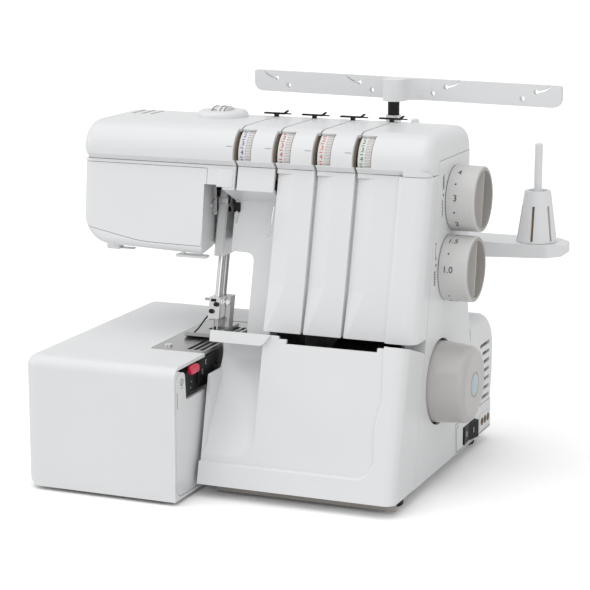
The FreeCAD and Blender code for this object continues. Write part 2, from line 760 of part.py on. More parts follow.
def head_cover(shell):
    """Front shell of the arm, with the needle recess and the first thread slot."""
    cover = shell.common(box(-REACH, slot_x(1) - SLOT_FOOT_WIDTH, 0, SPLIT_BACK - SEAM / 2, 0, REACH))
    face = prism("y", face_outline(SEAM), 0, SPLIT_BACK)
    cover = cover.cut(face.common(front_slab(-REACH, 0, COLUMN_BOTTOM, LIP_BOTTOM, REACH / 8,
                                             FACE_THICKNESS)))
    cover = cover.cut(dial_room(0))
    cover = cover.cut(front_slab(slot_x(0) - SLOT_FOOT_WIDTH, slot_x(0), RECESS_TOP - RECESS_CEILING_RUN,
                                 LIP_BOTTOM,
                                 1, SLOT_DEPTH))
    lugs = box(HEAD_WALL_X, PRESSER_X + 9, LUG_FRONT - PLAY, FRAME_BACK, LOWER_LUG_BOTTOM - PLAY,
               LOWER_LUG_BOTTOM + LUG_HEIGHT + PLAY)
    swing = box(ROCKER_ARM_LEFT - 1, BAR_X, POCKET_TURN - 14, SPLIT_BACK, ROCKER_Z - SWING_ROOM, BODY_TOP)
    for set_back in (0, PRESSER_SET_BACK):
        cover = cover.cut(bar_rod(BAR_X, set_back, COLUMN_BOTTOM, LIP_BOTTOM, 3 * BAR_RADIUS))
    half = GUIDE_BLOCK_WIDTH / 2 + PLAY
    guide = bar_block(BAR_X - half, BAR_X + half, GUIDE_BLOCK_AHEAD + PLAY, GUIDE_BLOCK_BEHIND,
                      COLUMN_BOTTOM, LIP_BOTTOM)
    cover = cover.cut(lugs).cut(swing).cut(guide)
    return max(cover.Solids, key=lambda solid: solid.Volume)


def face_outline(grow):
    """Front view of the face plate, grown by a gap, with its bowed lower edge."""
    left = BODY_LEFT - 1
    outline = [(left, FACE_TOP + grow), (FACE_RIGHT + grow, FACE_TOP + grow, grow + 1)]
    outline.append((FACE_RIGHT + grow, FACE_BOTTOM - grow, grow + 1))
    outline.append((FACE_BEND_X, FACE_BEND_Z - grow, FACE_BEND_RADIUS))
    outline.append((left, FACE_LEFT_Z - grow))
    return outline


def head_panel(shell):
    """Face plate let into the arm's front and round its left end."""
    slab = front_slab(-REACH, 0, COLUMN_BOTTOM, LIP_BOTTOM, 0, FACE_THICKNESS)
    return prism("y", face_outline(0), 0, SPLIT_BACK).common(slab).common(shell)


def rear_cover(shell):
    """Back shell of arm and column."""
    cover = shell.common(box(-REACH, -SIDE_DEPTH - SEAM, SPLIT_BACK + SEAM / 2, REACH, 0, REACH))
    pivot = rod("y", SPLIT_BACK, REACH, LIFTER_X, LIFTER_Z, LIFTER_PIN_RADIUS + RUN_FIT)
    inside = box(POCKET_LEFT - 4 * WALL, POCKET_RIGHT + 4 * WALL, 0, BODY_BACK - WALL, ARM_BOTTOM + WALL,
                 REACH)
    return cover.cut(pivot).cut(inside)


def tension_section(front, back):
    """Side view of the tension front between a front and a back allowance."""
    top = LIP_BOTTOM - SEAM
    outline = [(FRONT_FOOT_Y + front, FRONT_FOOT_Z), (front_y(top) + front, top), (side_seam_y(top) - back,
                                                                                   top)]
    outline.append((SIDE_SEAM_MID_Y - back, FRONT_FOOT_Z))
    return outline


def rib_facet(index):
    """Wedge that slants the left side of a rib, narrowing towards the rib's foot."""
    sections = []
    x = slot_x(index)
    for z, share in ((FRONT_FOOT_Z - 1, 0.15), (RIB_FACET_FOOT, 1.0), (LIP_BOTTOM, 0.95)):
        y = front_y(z)
        corners = [V(x - 1, y - 1, z), V(x + share * RIB_FACET_WIDTH, y - 1, z)]
        corners += [V(x + share * RIB_FACET_WIDTH, y, z), V(x - 1, y + share * RIB_FACET_DEPTH, z)]
        sections.append(Part.makePolygon(corners + corners[:1]))
    return Part.makeLoft(sections, True, True)


def tension_panel():
    """Front of the column, with three ribs, their slots and the right-hand corner."""
    left = slot_x(1)
    panel = prism("x", tension_section(0, SEAM), left, 0)
    rim = prism("x", tension_section(-LIP_CHAMFER, SEAM), RIM_LEFT, 0)
    on_rim = lambda p: abs(p.y - front_y(p.z) + LIP_CHAMFER) < 1e-4
    rim = soften(rim, LID_END_RADIUS, lambda edge: edge_on(edge, lambda p: abs(p.x) < 1e-6 and on_rim(p)))
    rim = soften(rim, RIM_RUN, lambda edge: edge_on(edge,
                                                    lambda p: abs(p.x - RIM_LEFT) < 1e-6 and on_rim(p)))
    panel = panel.cut(box(RIM_LEFT + RIM_RUN, 1, 0, REACH, 0, REACH)).fuse(rim).removeSplitter()
    hollow = prism("x", tension_section(PANEL_WALL, -WALL), left + WALL, -WALL)
    panel = panel.cut(hollow)
    for index in range(1, TENSION_COUNT):
        panel = panel.cut(rib_facet(index))
        panel = panel.cut(dial_room(index))
    for index in range(2, TENSION_COUNT):
        x = slot_x(index)
        panel = panel.cut(front_slab(x - SLOT_FOOT_WIDTH, x, FRONT_FOOT_Z - 1, LIP_BOTTOM, 1, SLOT_DEPTH))
    return panel


def side_outline(inset):
    """Side view of the right-hand cover, drawn in by an inset."""
    top = LID_SEAM - SEAM
    outline = [(SIDE_SEAM_LOW_Y + inset, SIDE_SEAM_LOW_Z), (SIDE_SEAM_MID_Y + inset, SIDE_SEAM_MID_Z)]
    lip = LIP_BOTTOM - SEAM
    outline += [(side_seam_y(lip) + inset, lip), (LIP_BACK + SEAM + inset, lip)]
    outline += [(LIP_BACK + SEAM + inset, top - inset), (BODY_BACK - inset, top - inset)]
    outline += [(BODY_BACK - inset, MOTOR_COVER_TOP), (SIDE_BACK_LOW - inset, MOTOR_COVER_TOP - SIDE_DEPTH)]
    outline.append((SIDE_BACK_LOW - inset, SIDE_SEAM_LOW_Z))
    return outline


def right_side_cover():
    """Right-hand side shell with holes for the shaft, the dial posts and the power plate."""
    cover = prism("x", side_outline(0), -SIDE_DEPTH, 0)
    cover = soften(cover, BACK_EDGE_RADIUS,
                   lambda edge: edge_on(edge, lambda p: abs(p.x) < 1e-6 and abs(p.y - BODY_BACK) < 1e-6))
    cover = cover.cut(prism("x", side_outline(WALL), -SIDE_DEPTH, -WALL))
    cover = cover.cut(box(-SIDE_DEPTH, -WALL, 0, REACH, 0, FOOT_HEIGHT + TRAY_DEPTH + SEAM))
    cover = cover.cut(rod("x", -SIDE_DEPTH, 1, SHAFT_Y, SHAFT_Z, WHEEL_RADIUS + WHEEL_GAP))
    for y, z in ((STITCH_Y, STITCH_Z), (FEED_Y, FEED_Z)):
        cover = cover.cut(rod("x", -SIDE_DEPTH, 1, y, z, KNOB_POST_RADIUS + PLAY))
    return cover.cut(plate_block(SEAM))


def plate_block(grow):
    """Space of the power plate in the side covers, grown by a gap."""
    return box(-REACH / 8, PLATE_STEP + 1, PLATE_FRONT - grow, PLATE_BACK + grow, 0, PLATE_TOP + grow)


def switch_pin(grow):
    """Pivot of the mains switch, grown by a running fit."""
    half = SWITCH_HEIGHT / 2 + SWITCH_PIN_LENGTH
    return rod("z", SWITCH_Z - half - grow, SWITCH_Z + half + grow, SWITCH_PIVOT_X, SWITCH_Y,
               SWITCH_PIN_RADIUS + grow)


def power_plate():
    """Plate that carries the switch and the inlet."""
    plate = box(-WALL, PLATE_STEP, PLATE_FRONT, PLATE_BACK, SIDE_SEAM_LOW_Z, PLATE_TOP)
    plate = soften(plate, PLATE_STEP - 0.2, lambda edge: edge_on(edge,
                                                                 lambda p: abs(p.x - PLATE_STEP) < 1e-6))
    switch_hole = rectangle(SWITCH_Y - SWITCH_LENGTH / 2 - 2, SWITCH_Y + SWITCH_LENGTH / 2 + 2,
                            SWITCH_Z - SWITCH_HEIGHT / 2 - PLAY, SWITCH_Z + SWITCH_HEIGHT / 2 + PLAY)
    inlet_hole = rectangle(INLET_Y - INLET_LENGTH / 2, INLET_Y + INLET_LENGTH / 2,
                           SWITCH_Z - INLET_HEIGHT / 2, SWITCH_Z + INLET_HEIGHT / 2)
    plate = plate.cut(prism("x", switch_hole, -REACH / 8, REACH / 8)).cut(switch_pin(RUN_FIT))
    return plate.cut(prism("x", inlet_hole, -REACH / 8, REACH / 8))


def power_switch():
    """Rocker of the mains switch with its pivot pins, tipped to one side."""
    half = SWITCH_LENGTH / 2
    dip = math.tan(math.radians(SWITCH_TILT)) * half
    outline = [(-SWITCH_DEPTH, SWITCH_Y - half), (PLATE_STEP + dip / 2, SWITCH_Y - half), (PLATE_STEP,
                                                                                           SWITCH_Y)]
    outline += [(PLATE_STEP + 2 * dip, SWITCH_Y + half), (-SWITCH_DEPTH, SWITCH_Y + half)]
    rocker = prism("z", outline, SWITCH_Z - SWITCH_HEIGHT / 2, SWITCH_Z + SWITCH_HEIGHT / 2)
    return rocker.fuse(switch_pin(0))


def power_inlet():
    """Socket for the supply and foot control lead, with its contact wells."""
    inlet = box(-INLET_DEPTH, PLATE_STEP + 0.4, INLET_Y - INLET_LENGTH / 2 + RUN_FIT,
                INLET_Y + INLET_LENGTH / 2 - RUN_FIT,
                SWITCH_Z - INLET_HEIGHT / 2 + RUN_FIT, SWITCH_Z + INLET_HEIGHT / 2 - RUN_FIT)
    for index in range(INLET_PINS):
        y = INLET_Y + (index - (INLET_PINS - 1) / 2) * INLET_LENGTH / (INLET_PINS + 0.5)
        inlet = inlet.cut(rod("x", -INLET_DEPTH / 2, WALL, y, SWITCH_Z, INLET_HEIGHT / 4))
    return inlet


def motor_outline(inset):
    """Side view of the motor cover, drawn in by an inset."""
    front = SIDE_BACK_LOW + SEAM
    outline = [(front, SIDE_SEAM_LOW_Z), (front, MOTOR_COVER_TOP - SEAM - inset)]
    outline.append((MOTOR_COVER_BACK - inset, MOTOR_COVER_TOP - SEAM - inset, MOTOR_COVER_RADIUS - inset))
    outline.append((MOTOR_COVER_BACK - inset, VENT_ARC_Z))
    outline.append((MOTOR_COVER_BACK - MOTOR_COVER_TAPER - inset, SIDE_SEAM_LOW_Z))
    return outline


def motor_cover():
    """Rounded housing behind the body, with vent slots on its right side."""
    cover = prism("x", motor_outline(0), LOWER_LEFT, 0)

    def right_edge(edge):
        middle = edge.CenterOfMass
        behind = middle.y > SIDE_BACK_LOW + 1 and middle.z > SIDE_SEAM_LOW_Z + 1
        return behind and edge_on(edge, lambda p: abs(p.x) < 1e-6)

    cover = soften(cover, BACK_EDGE_RADIUS, right_edge)
    cover = cover.cut(prism("x", motor_outline(WALL), LOWER_LEFT + WALL, -WALL))
    skirt = box(LOWER_LEFT, LOWER_LEFT + WALL, LOWER_FRONT, SIDE_BACK_LOW + 2 * WALL,
                SIDE_SEAM_LOW_Z + TRAY_DEPTH,
                COLUMN_BOTTOM - SEAM)
    beam = box(LOWER_LEFT - 1, LOWER_LEFT + WALL + 1, BED_BEAM_FRONT - PLAY, BED_BEAM_BACK + PLAY,
               FREE_ARM_BOTTOM + WALL - PLAY, BED_BEAM_TOP + PLAY)
    cover = cover.fuse(skirt).cut(beam)
    cover = cover.cut(box(LOWER_LEFT - 1, -WALL, SIDE_BACK_LOW, TRAY_BACK + SEAM, 0,
                          FOOT_HEIGHT + TRAY_DEPTH + SEAM))
    for index in range(VENT_COUNT):
        z = VENT_LOW + index * VENT_PITCH
        y = VENT_ARC_Y + math.sqrt(VENT_ARC_RADIUS ** 2 - (z - VENT_ARC_Z) ** 2)
        slot = rectangle(y, VENT_BACK - MOTOR_COVER_TAPER, z - VENT_HEIGHT / 2, z + VENT_HEIGHT / 2,
                         VENT_HEIGHT / 2.2)
        cover = cover.cut(prism("x", slot, -WALL - 1, 1))
    return cover.cut(plate_block(SEAM))


def base_tray():
    """Shallow tray under the machine, with the two brackets of the cover hinge."""
    tray = prism("z", rectangle(TRAY_LEFT, -WALL - SEAM, TRAY_FRONT, TRAY_BACK, 4), FOOT_HEIGHT,
                 FOOT_HEIGHT + TRAY_DEPTH)
    well = rectangle(TRAY_LEFT + WALL, -2 * WALL - SEAM, TRAY_FRONT + WALL, TRAY_BACK - WALL, 2)
    tray = tray.cut(prism("z", well, FOOT_HEIGHT + TRAY_FLOOR, FOOT_HEIGHT + TRAY_DEPTH + 1))
    pieces = [tray]
    for x in (TRAY_LEFT, BRACKET_RIGHT - BRACKET_WIDTH):
        pieces.append(box(x, x + BRACKET_WIDTH, HINGE_Y - HINGE_ROD_RADIUS - BRACKET_WALL,
                          TRAY_FRONT + WALL / 2,
                          HINGE_Z - 2, HINGE_Z + HINGE_ROD_RADIUS + 1))
        pieces.append(box(x, x + BRACKET_WIDTH, TRAY_FRONT, TRAY_FRONT + WALL, FOOT_HEIGHT,
                          HINGE_Z + HINGE_ROD_RADIUS + 1))
    tray = fused(pieces)
    return tray.cut(rod("x", TRAY_LEFT - 1, 0, HINGE_Y, HINGE_Z, HINGE_ROD_RADIUS))


def rubber_feet():
    """Four feet under the tray."""
    feet = []
    for x in (TRAY_LEFT + FOOT_INSET, -WALL - FOOT_INSET):
        for y in (TRAY_FRONT + FOOT_INSET + FOOT_RADIUS, TRAY_BACK - FOOT_INSET - FOOT_RADIUS):
            foot = rod("z", 0, FOOT_HEIGHT, x, y, FOOT_RADIUS)
            feet.append(soften(foot, 1.5, lambda edge: edge_on(edge, lambda p: p.z < 1e-6)))
    return Part.makeCompound(feet)


def cover_hinge_rod():
    """Steel rod that the looper cover slides and turns on."""
    return rod("x", TRAY_LEFT, BRACKET_RIGHT, HINGE_Y, HINGE_Z, HINGE_ROD_RADIUS)


def hinge_sleeve():
    """Tube on the hinge rod that slides with the looper cover."""
    return tube("x", SLEEVE_LEFT, SLEEVE_RIGHT, HINGE_Y, HINGE_Z, SLEEVE_RADIUS, HINGE_ROD_RADIUS + RUN_FIT)


def cover_section(front, back, drop):
    """Side view of the looper cover between front and back allowances."""
    seam_low = side_seam_y(COVER_BOTTOM) - back
    seam_high = side_seam_y(COVER_SIDE_TOP) - back
    outline = [(cover_y(COVER_BOTTOM) + front, COVER_BOTTOM - drop), (cover_y(COVER_TOP) + front,
                                                                      COVER_TOP + drop)]
    outline += [(seam_high - COVER_CORNER_RUN, COVER_SIDE_TOP + COVER_CORNER_RISE), (seam_high,
                                                                                     COVER_SIDE_TOP)]
    outline.append((seam_low, COVER_BOTTOM - drop))
    return outline


def chute(grow):
    """Hollow under the cover's lip that trimmings fall through, grown by a wall."""
    foot_y = cover_y(CHUTE_FOOT)
    outline = [(-REACH / 8, CHUTE_FOOT - grow), (-REACH / 8, CHUTE_TOP + grow), (CHUTE_BACK + grow,
                                                                                 CHUTE_TOP + grow)]
    outline += [(CHUTE_BACK + grow, CHUTE_FLOOR - grow, CHUTE_RADIUS), (foot_y + DISH_DEPTH,
                                                                        CHUTE_FOOT - grow)]
    low = CHUTE_FOOT - grow
    right = CHUTE_RIGHT + grow
    if grow:
        front = [(COVER_LEFT, low), (right, low, CHUTE_CORNER + grow), (right, REACH), (COVER_LEFT, REACH)]
    else:
        inner = COVER_LEFT + WALL
        front = [(inner, low), (right, low, CHUTE_CORNER), (right, REACH), (COVER_LEFT - 1, REACH)]
        front += [(COVER_LEFT - 1, CHUTE_SIDE_TOP), (inner, CHUTE_SIDE_TOP - WALL)]
    return prism("x", outline, COVER_LEFT - 2, right).common(prism("y", front, -REACH, REACH))


def dish_outline(grow):
    """Front view of the cover's dish, with its wavy right-hand edge, grown by a wall."""
    low = DISH_BOTTOM - grow
    outline = [(COVER_LEFT - 1, low), (DISH_RIGHT + grow, low, DISH_RADIUS)]
    outline.append((DISH_WAIST + grow, DISH_WAIST_Z, DISH_WAVE_RADIUS))
    outline.append((DISH_BULGE + grow, DISH_BULGE_Z, DISH_WAVE_RADIUS))
    outline += [(NOTCH_RIGHT - 2 + grow, COVER_TOP + 5), (NOTCH_LEFT - 2 - grow, COVER_TOP + 5)]
    outline += [(CHUTE_RIGHT, DISH_TOP + grow, 6), (COVER_LEFT - 1, DISH_TOP + grow)]
    return outline


def looper_cover():
    """Hinged front cover with its dished face, chute, lip, notch and knuckles."""
    outer = prism("x", cover_section(0, SEAM, 0), COVER_LEFT, 0)
    outer = soften(outer, COVER_EDGE_RADIUS,
                   lambda edge: edge_on(edge, lambda p: abs(p.x) < 1e-6 and abs(p.y - cover_y(p.z)) < 1e-4))
    hollow = prism("x", cover_section(WALL, -WALL, 1), COVER_LEFT - 1, -WALL)
    lip = prism("x", [(cover_y(CHUTE_TOP), CHUTE_TOP), (cover_y(COVER_TOP), COVER_TOP, 1.5),
                      (cover_y(COVER_TOP) + LIP_DEPTH, COVER_TOP, 1.5), (cover_y(CHUTE_TOP) + LIP_DEPTH,
                                                                         CHUTE_TOP)],
                COVER_LEFT, NOTCH_LEFT)
    layer = [(cover_y(0) - 20, 0), (cover_y(REACH) - 20, REACH), (cover_y(REACH) + DISH_DEPTH, REACH)]
    layer.append((cover_y(0) + DISH_DEPTH, 0))
    dish = prism("y", dish_outline(0), -REACH, REACH).common(prism("x", layer, -REACH, REACH))
    on_face = lambda p: abs(p.y - cover_y(p.z)) < 1e-3 and p.x < DISH_BULGE + 1
    inside = lambda p: p.x > COVER_LEFT + 1 and DISH_BOTTOM - 1 < p.z < DISH_TOP - 3
    dished = soften(outer.cut(dish), DISH_EDGE_RADIUS,
                    lambda edge: edge_on(edge, on_face) and inside(edge.CenterOfMass))
    shell = dished.cut(hollow).fuse(lip).fuse(chute(WALL).common(outer))
    back_up = prism("y", dish_outline(WALL), -REACH, REACH).common(
        prism("x", cover_section(WALL / 2, -WALL, 0), -REACH, REACH)).common(
        prism("x", [(y + DISH_DEPTH, z) for y, z in layer[:2]] + [(y + WALL, z) for y, z in layer[2:]],
              COVER_LEFT, -WALL))
    notch = [(NOTCH_LEFT, COVER_TOP + 1), (NOTCH_LEFT, NOTCH_STEP), (NOTCH_LEFT + NOTCH_RUN, NOTCH_STEP)]
    notch += [(NOTCH_LEFT + NOTCH_RUN, NOTCH_BOTTOM), (NOTCH_RIGHT - NOTCH_RUN, NOTCH_BOTTOM)]
    notch += [(NOTCH_RIGHT - NOTCH_RUN, NOTCH_STEP), (NOTCH_RIGHT, NOTCH_STEP), (NOTCH_RIGHT,
                                                                                 COVER_TOP + 1)]
    shell = shell.fuse(back_up).cut(dish).cut(chute(0))
    shell = shell.cut(prism("y", notch, 0, CHUTE_BACK))
    pieces = [shell]
    for x in KNUCKLE_PLACES:
        block = prism("x", [(cover_y(HINGE_Z - 3) + 1, HINGE_Z - 2.7), (HINGE_Y + 4, HINGE_Z - 2.7, 2),
                            (HINGE_Y + 4, HINGE_Z + 4, 2), (cover_y(HINGE_Z + 4) + 1, HINGE_Z + 4)],
                      x, x + KNUCKLE_WIDTH)
        pieces.append(block)
    cover = fused(pieces)
    bore = rod("x", COVER_LEFT, -WALL, HINGE_Y, HINGE_Z, SLEEVE_RADIUS + RUN_FIT)
    return cover.cut(bore)


def free_arm():
    """Hollow arm of the bed, open towards the loopers."""
    top = BED_TOP - PLATE_THICKNESS
    arm = prism("x", rectangle(FREE_ARM_FRONT, FREE_ARM_BACK, FREE_ARM_BOTTOM, top, 6), FREE_ARM_LEFT,
                FREE_ARM_RIGHT)
    inner = rectangle(FREE_ARM_FRONT + WALL, FREE_ARM_BACK - WALL, FREE_ARM_BOTTOM + WALL, top - WALL, 3)
    arm = arm.cut(prism("x", inner, FREE_ARM_LEFT + WALL, FREE_ARM_RIGHT + 1))
    return arm.cut(box(FEED_SLOT_LAST - FEED_SLOT_COUNT * FEED_SLOT_PITCH - 10, FREE_ARM_RIGHT + 1,
                       FEED_SLOT_FRONT, FEED_SLOT_BACK, top - WALL - 1, top + 1))


def feed_slot_x(index):
    """Middle of a feed slot, counted from the right."""
    return FEED_SLOT_LAST - index * FEED_SLOT_PITCH


def needle_plate():
    """Steel plate over the free arm, with feed slots and a needle hole."""
    plate = prism("z", [(NEEDLE_PLATE_LEFT, NEEDLE_PLATE_FRONT, 4), (NEEDLE_PLATE_RIGHT, NEEDLE_PLATE_FRONT,
                                                                     1),
                        (NEEDLE_PLATE_RIGHT, NEEDLE_PLATE_BACK, 1), (NEEDLE_PLATE_LEFT, NEEDLE_PLATE_BACK,
                                                                     4)],
                  BED_TOP - PLATE_THICKNESS, BED_TOP)
    for index in range(FEED_SLOT_COUNT):
        x = feed_slot_x(index)
        slot = rectangle(x - FEED_SLOT_WIDTH / 2, x + FEED_SLOT_WIDTH / 2, FEED_SLOT_FRONT, FEED_SLOT_BACK,
                         1)
        plate = plate.cut(prism("z", slot, BED_TOP - PLATE_THICKNESS - 1, BED_TOP + 1))
    hole = rectangle(BAR_X - NEEDLE_SPACING, BAR_X + NEEDLE_SPACING, bar_y(BED_TOP) - 6, bar_y(BED_TOP) + 4,
                     1)
    return plate.cut(prism("z", hole, BED_TOP - PLATE_THICKNESS - 1, BED_TOP + 1))


def feed_dogs():
    """Toothed feed bars under the plate, joined by one carrier."""
    top = BED_TOP - 0.3
    low = BED_TOP - PLATE_THICKNESS - 2 * WALL
    pieces = []
    tooth = (FEED_DOG_BACK - FEED_DOG_FRONT) / 14
    for index in range(FEED_SLOT_COUNT):
        x = feed_slot_x(index)
        outline = [(FEED_DOG_FRONT, low)]
        for step in range(14):
            y = FEED_DOG_FRONT + step * tooth
            outline += [(y + 1e-3, top - 1), (y + tooth / 2, top)]
        outline += [(FEED_DOG_BACK, top - 1), (FEED_DOG_BACK, low)]
        pieces.append(prism("x", outline, x - FEED_SLOT_WIDTH / 2 + PLAY, x + FEED_SLOT_WIDTH / 2 - PLAY))
    left = feed_slot_x(FEED_SLOT_COUNT - 1) - FEED_SLOT_WIDTH / 2 + PLAY
    pieces.append(box(left, feed_slot_x(0) + FEED_SLOT_WIDTH / 2 - PLAY, FEED_DOG_FRONT,
                      FEED_DOG_FRONT + 12, low, low + 2))
    return fused(pieces)


def table_block(inset):
    """Body of the slide-on table, drawn in by an inset, open towards the right when inset."""
    radius = TABLE_RADIUS - inset
    right = TABLE_RIGHT - inset
    plan = [(TABLE_LEFT + inset, TABLE_FRONT + inset, radius), (right, TABLE_FRONT + inset)]
    plan += [(right, TABLE_BACK - inset), (TABLE_LEFT + inset, TABLE_BACK - inset, radius)]
    block = prism("z", plan, TABLE_BOTTOM - inset, BED_TOP - inset)

    def top_edge(edge):
        middle = edge.CenterOfMass
        return abs(middle.z - BED_TOP + inset) < 1e-6 and middle.x < right - 1.5

    return soften(block, radius - 1, top_edge)


def table_plate(inset):
    """Outline of the table's right-hand end plate, drawn in by an inset, as deep as its groove."""
    front = TABLE_FRONT + TABLE_RIM + inset
    low = TABLE_BOTTOM + TABLE_RIM + inset
    high = BED_TOP - 2 * TABLE_RIM - inset
    back = TABLE_WALL_BACK + 1
    outline = [(front, low, TABLE_GROOVE_RADIUS - inset), (back, low), (back, high)]
    outline.append((front, high, TABLE_GROOVE_RADIUS - inset))
    return prism("x", outline, TABLE_RIGHT - TABLE_GROOVE_DEPTH, 0)


def table_slot():
    """Narrow upright slot in the end plate."""
    front = TABLE_FRONT + 2 * TABLE_RIM
    return prism("x", rectangle(front, front + 1.8, TABLE_SLOT_LOW, TABLE_SLOT_HIGH, 0.8),
                 TABLE_RIGHT - TABLE_GROOVE_DEPTH, 0)


def extension_table():
    """Slide-on table around the free arm, cut out round the needle plate."""
    table = table_block(0).cut(table_block(TABLE_WALL))
    front = [(TABLE_LEFT, TABLE_BOTTOM, TABLE_FOOT_RADIUS), (TABLE_RIGHT, TABLE_BOTTOM)]
    front += [(TABLE_RIGHT, REACH), (TABLE_LEFT, REACH)]
    table = table.common(prism("y", front, -REACH, REACH))
    cut_out = [(NEEDLE_PLATE_LEFT - SEAM, NEEDLE_PLATE_FRONT - SEAM, 4), (0, NEEDLE_PLATE_FRONT - SEAM)]
    cut_out += [(0, FREE_ARM_BACK + 1), (NEEDLE_PLATE_LEFT - SEAM, FREE_ARM_BACK + 1, 4)]
    table = table.cut(prism("z", cut_out, FREE_ARM_BOTTOM, BED_TOP + 1))
    wall_x = TABLE_RIGHT - TABLE_WALL - 0.5
    window = rectangle(TABLE_WALL_BACK, TABLE_BACK - 3 * TABLE_RADIUS, TABLE_BOTTOM - 5,
                       BED_TOP - TABLE_WALL)
    high = BED_TOP - TABLE_WALL
    back = TABLE_BACK - 3 * TABLE_RADIUS
    notch = [(TABLE_FRONT + 2 * TABLE_RIM, high), (TABLE_NOTCH_FRONT, high - TABLE_NOTCH_DROP, 4)]
    notch += [(TABLE_NOTCH_FRONT + 2, TABLE_NOTCH_BOTTOM, 2), (back, TABLE_NOTCH_BOTTOM), (back, high)]
    table = table.cut(prism("x", window, wall_x, 0))
    table = table.cut(prism("x", notch, wall_x, 0))
    return table.cut(table_plate(0).cut(table_plate(TABLE_GROOVE))).cut(table_slot())


def looper_bay_panel():
    """Dark inner wall beside the loopers, with the hole of the release button."""
    x0 = FREE_ARM_RIGHT + PLAY
    outline = [(BAY_FRONT, BAY_BOTTOM, 3), (BAY_BACK, BAY_BOTTOM, 3)]
    outline += [(BAY_BACK, BED_TOP - PLATE_THICKNESS), (BAY_FRONT, BED_TOP - PLATE_THICKNESS)]
    panel = prism("x", outline, x0, x0 + BAY_THICKNESS)
    return panel.cut(rod("x", x0 - 1, x0 + BAY_THICKNESS + 1, BUTTON_Y, BUTTON_Z,
                         BUTTON_RADIUS / 2 + RUN_FIT))


def release_button():
    """Red button on the inner wall."""
    face = FREE_ARM_RIGHT + PLAY + BAY_THICKNESS + BUTTON_TRAVEL + PLAY
    half = BUTTON_LENGTH / 2
    outline = rectangle(BUTTON_Y - half, BUTTON_Y + half, BUTTON_Z - BUTTON_RADIUS, BUTTON_Z + BUTTON_RADIUS,
                        BUTTON_RADIUS - 0.1)
    cap = prism("x", outline, face, face + BUTTON_PROUD)
    cap = soften(cap, 1.2, lambda edge: edge_on(edge, lambda p: p.x > face + 1))
    stem = rod("x", FREE_ARM_RIGHT + PLAY, face + 1, BUTTON_Y, BUTTON_Z, BUTTON_RADIUS / 2)
    return fused([cap, stem])


def crank_point():
    """Place of the needle bar's drive pin: the foot of the square line from the rocker."""
    start = V(0, bar_y(ROCKER_Z), ROCKER_Z)
    pivot = V(0, ROCKER_Y, ROCKER_Z)
    nearest = start - BAR_AXIS * (start - pivot).dot(BAR_AXIS)
    arm = (nearest - pivot).Length
    middle = (ROCKER_SWING_UP - ROCKER_SWING_DOWN) / 2
    return nearest - BAR_AXIS * (arm * math.tan(math.radians(middle)))


def needle_bar():
    """Needle bar with its drive collar and pin."""
    pin = crank_point()
    bar = bar_rod(BAR_X, 0, BAR_BOTTOM, BAR_TOP, BAR_RADIUS)
    collar = bar_rod(BAR_X, 0, pin.z - 3, pin.z + 3, BAR_RADIUS + 2.5)
    stud = rod("x", ROCKER_ARM_LEFT, BAR_X - BAR_RADIUS + 1, pin.y, pin.z, CRANK_PIN_RADIUS)
    return fused([bar, collar, stud])


def bar_block(x0, x1, ahead, behind, z0, z1):
    """Block that leans with the needle bar."""
    outline = [(bar_y(z0) - ahead, z0), (bar_y(z0) + behind, z0), (bar_y(z1) + behind, z1),
               (bar_y(z1) - ahead, z1)]
    return prism("x", outline, x0, x1)


def needle_clamp():
    """Clamp on the needle bar's foot, with two set screw heads."""
    half = CLAMP_WIDTH / 2
    clamp = bar_block(BAR_X - half, BAR_X + half, CLAMP_DEPTH / 2, CLAMP_DEPTH / 2, CLAMP_BOTTOM, CLAMP_TOP)
    clamp = clamp.cut(bar_rod(BAR_X, 0, BAR_BOTTOM, CLAMP_TOP + 5, BAR_RADIUS))
    for x in needle_places():
        clamp = clamp.cut(bar_rod(x, 0, CLAMP_BOTTOM - 5, CLAMP_BOTTOM + 5, NEEDLE_RADIUS))
    return clamp


def needle_places():
    """Two needles side by side."""
    return (BAR_X - NEEDLE_SPACING / 2, BAR_X + NEEDLE_SPACING / 2)


def needles():
    """Two needles with tapered points, and the screws that hold them."""
    pieces = []
    for index, x in enumerate(needle_places()):
        shank = bar_rod(x, 0, NEEDLE_TIP + 4, CLAMP_BOTTOM + 5, NEEDLE_RADIUS)
        tip = Part.makeCone(NEEDLE_RADIUS / 4, NEEDLE_RADIUS, 4 * LEAN_STRETCH, V(x, bar_y(NEEDLE_TIP),
                                                                                  NEEDLE_TIP), BAR_AXIS)
        pieces.append(fused([shank, tip]))
        z = CLAMP_BOTTOM + (index + 1) * (CLAMP_TOP - CLAMP_BOTTOM) / 3
        head = Part.makeCylinder(1.6, 2, V(x, bar_y(z) - CLAMP_DEPTH / 2, z), V(0, -1, FRONT_LEAN))
        pieces.append(head.cut(bar_block(BAR_X - CLAMP_WIDTH, BAR_X + CLAMP_WIDTH, CLAMP_DEPTH / 2, 20,
                                         CLAMP_BOTTOM - 10, CLAMP_TOP + 10)))
    return Part.makeCompound(pieces)


def presser_bar():
    """Presser bar beside the needle bar."""
    return bar_rod(PRESSER_X, PRESSER_SET_BACK, PRESSER_BOTTOM, BAR_TOP, PRESSER_RADIUS)


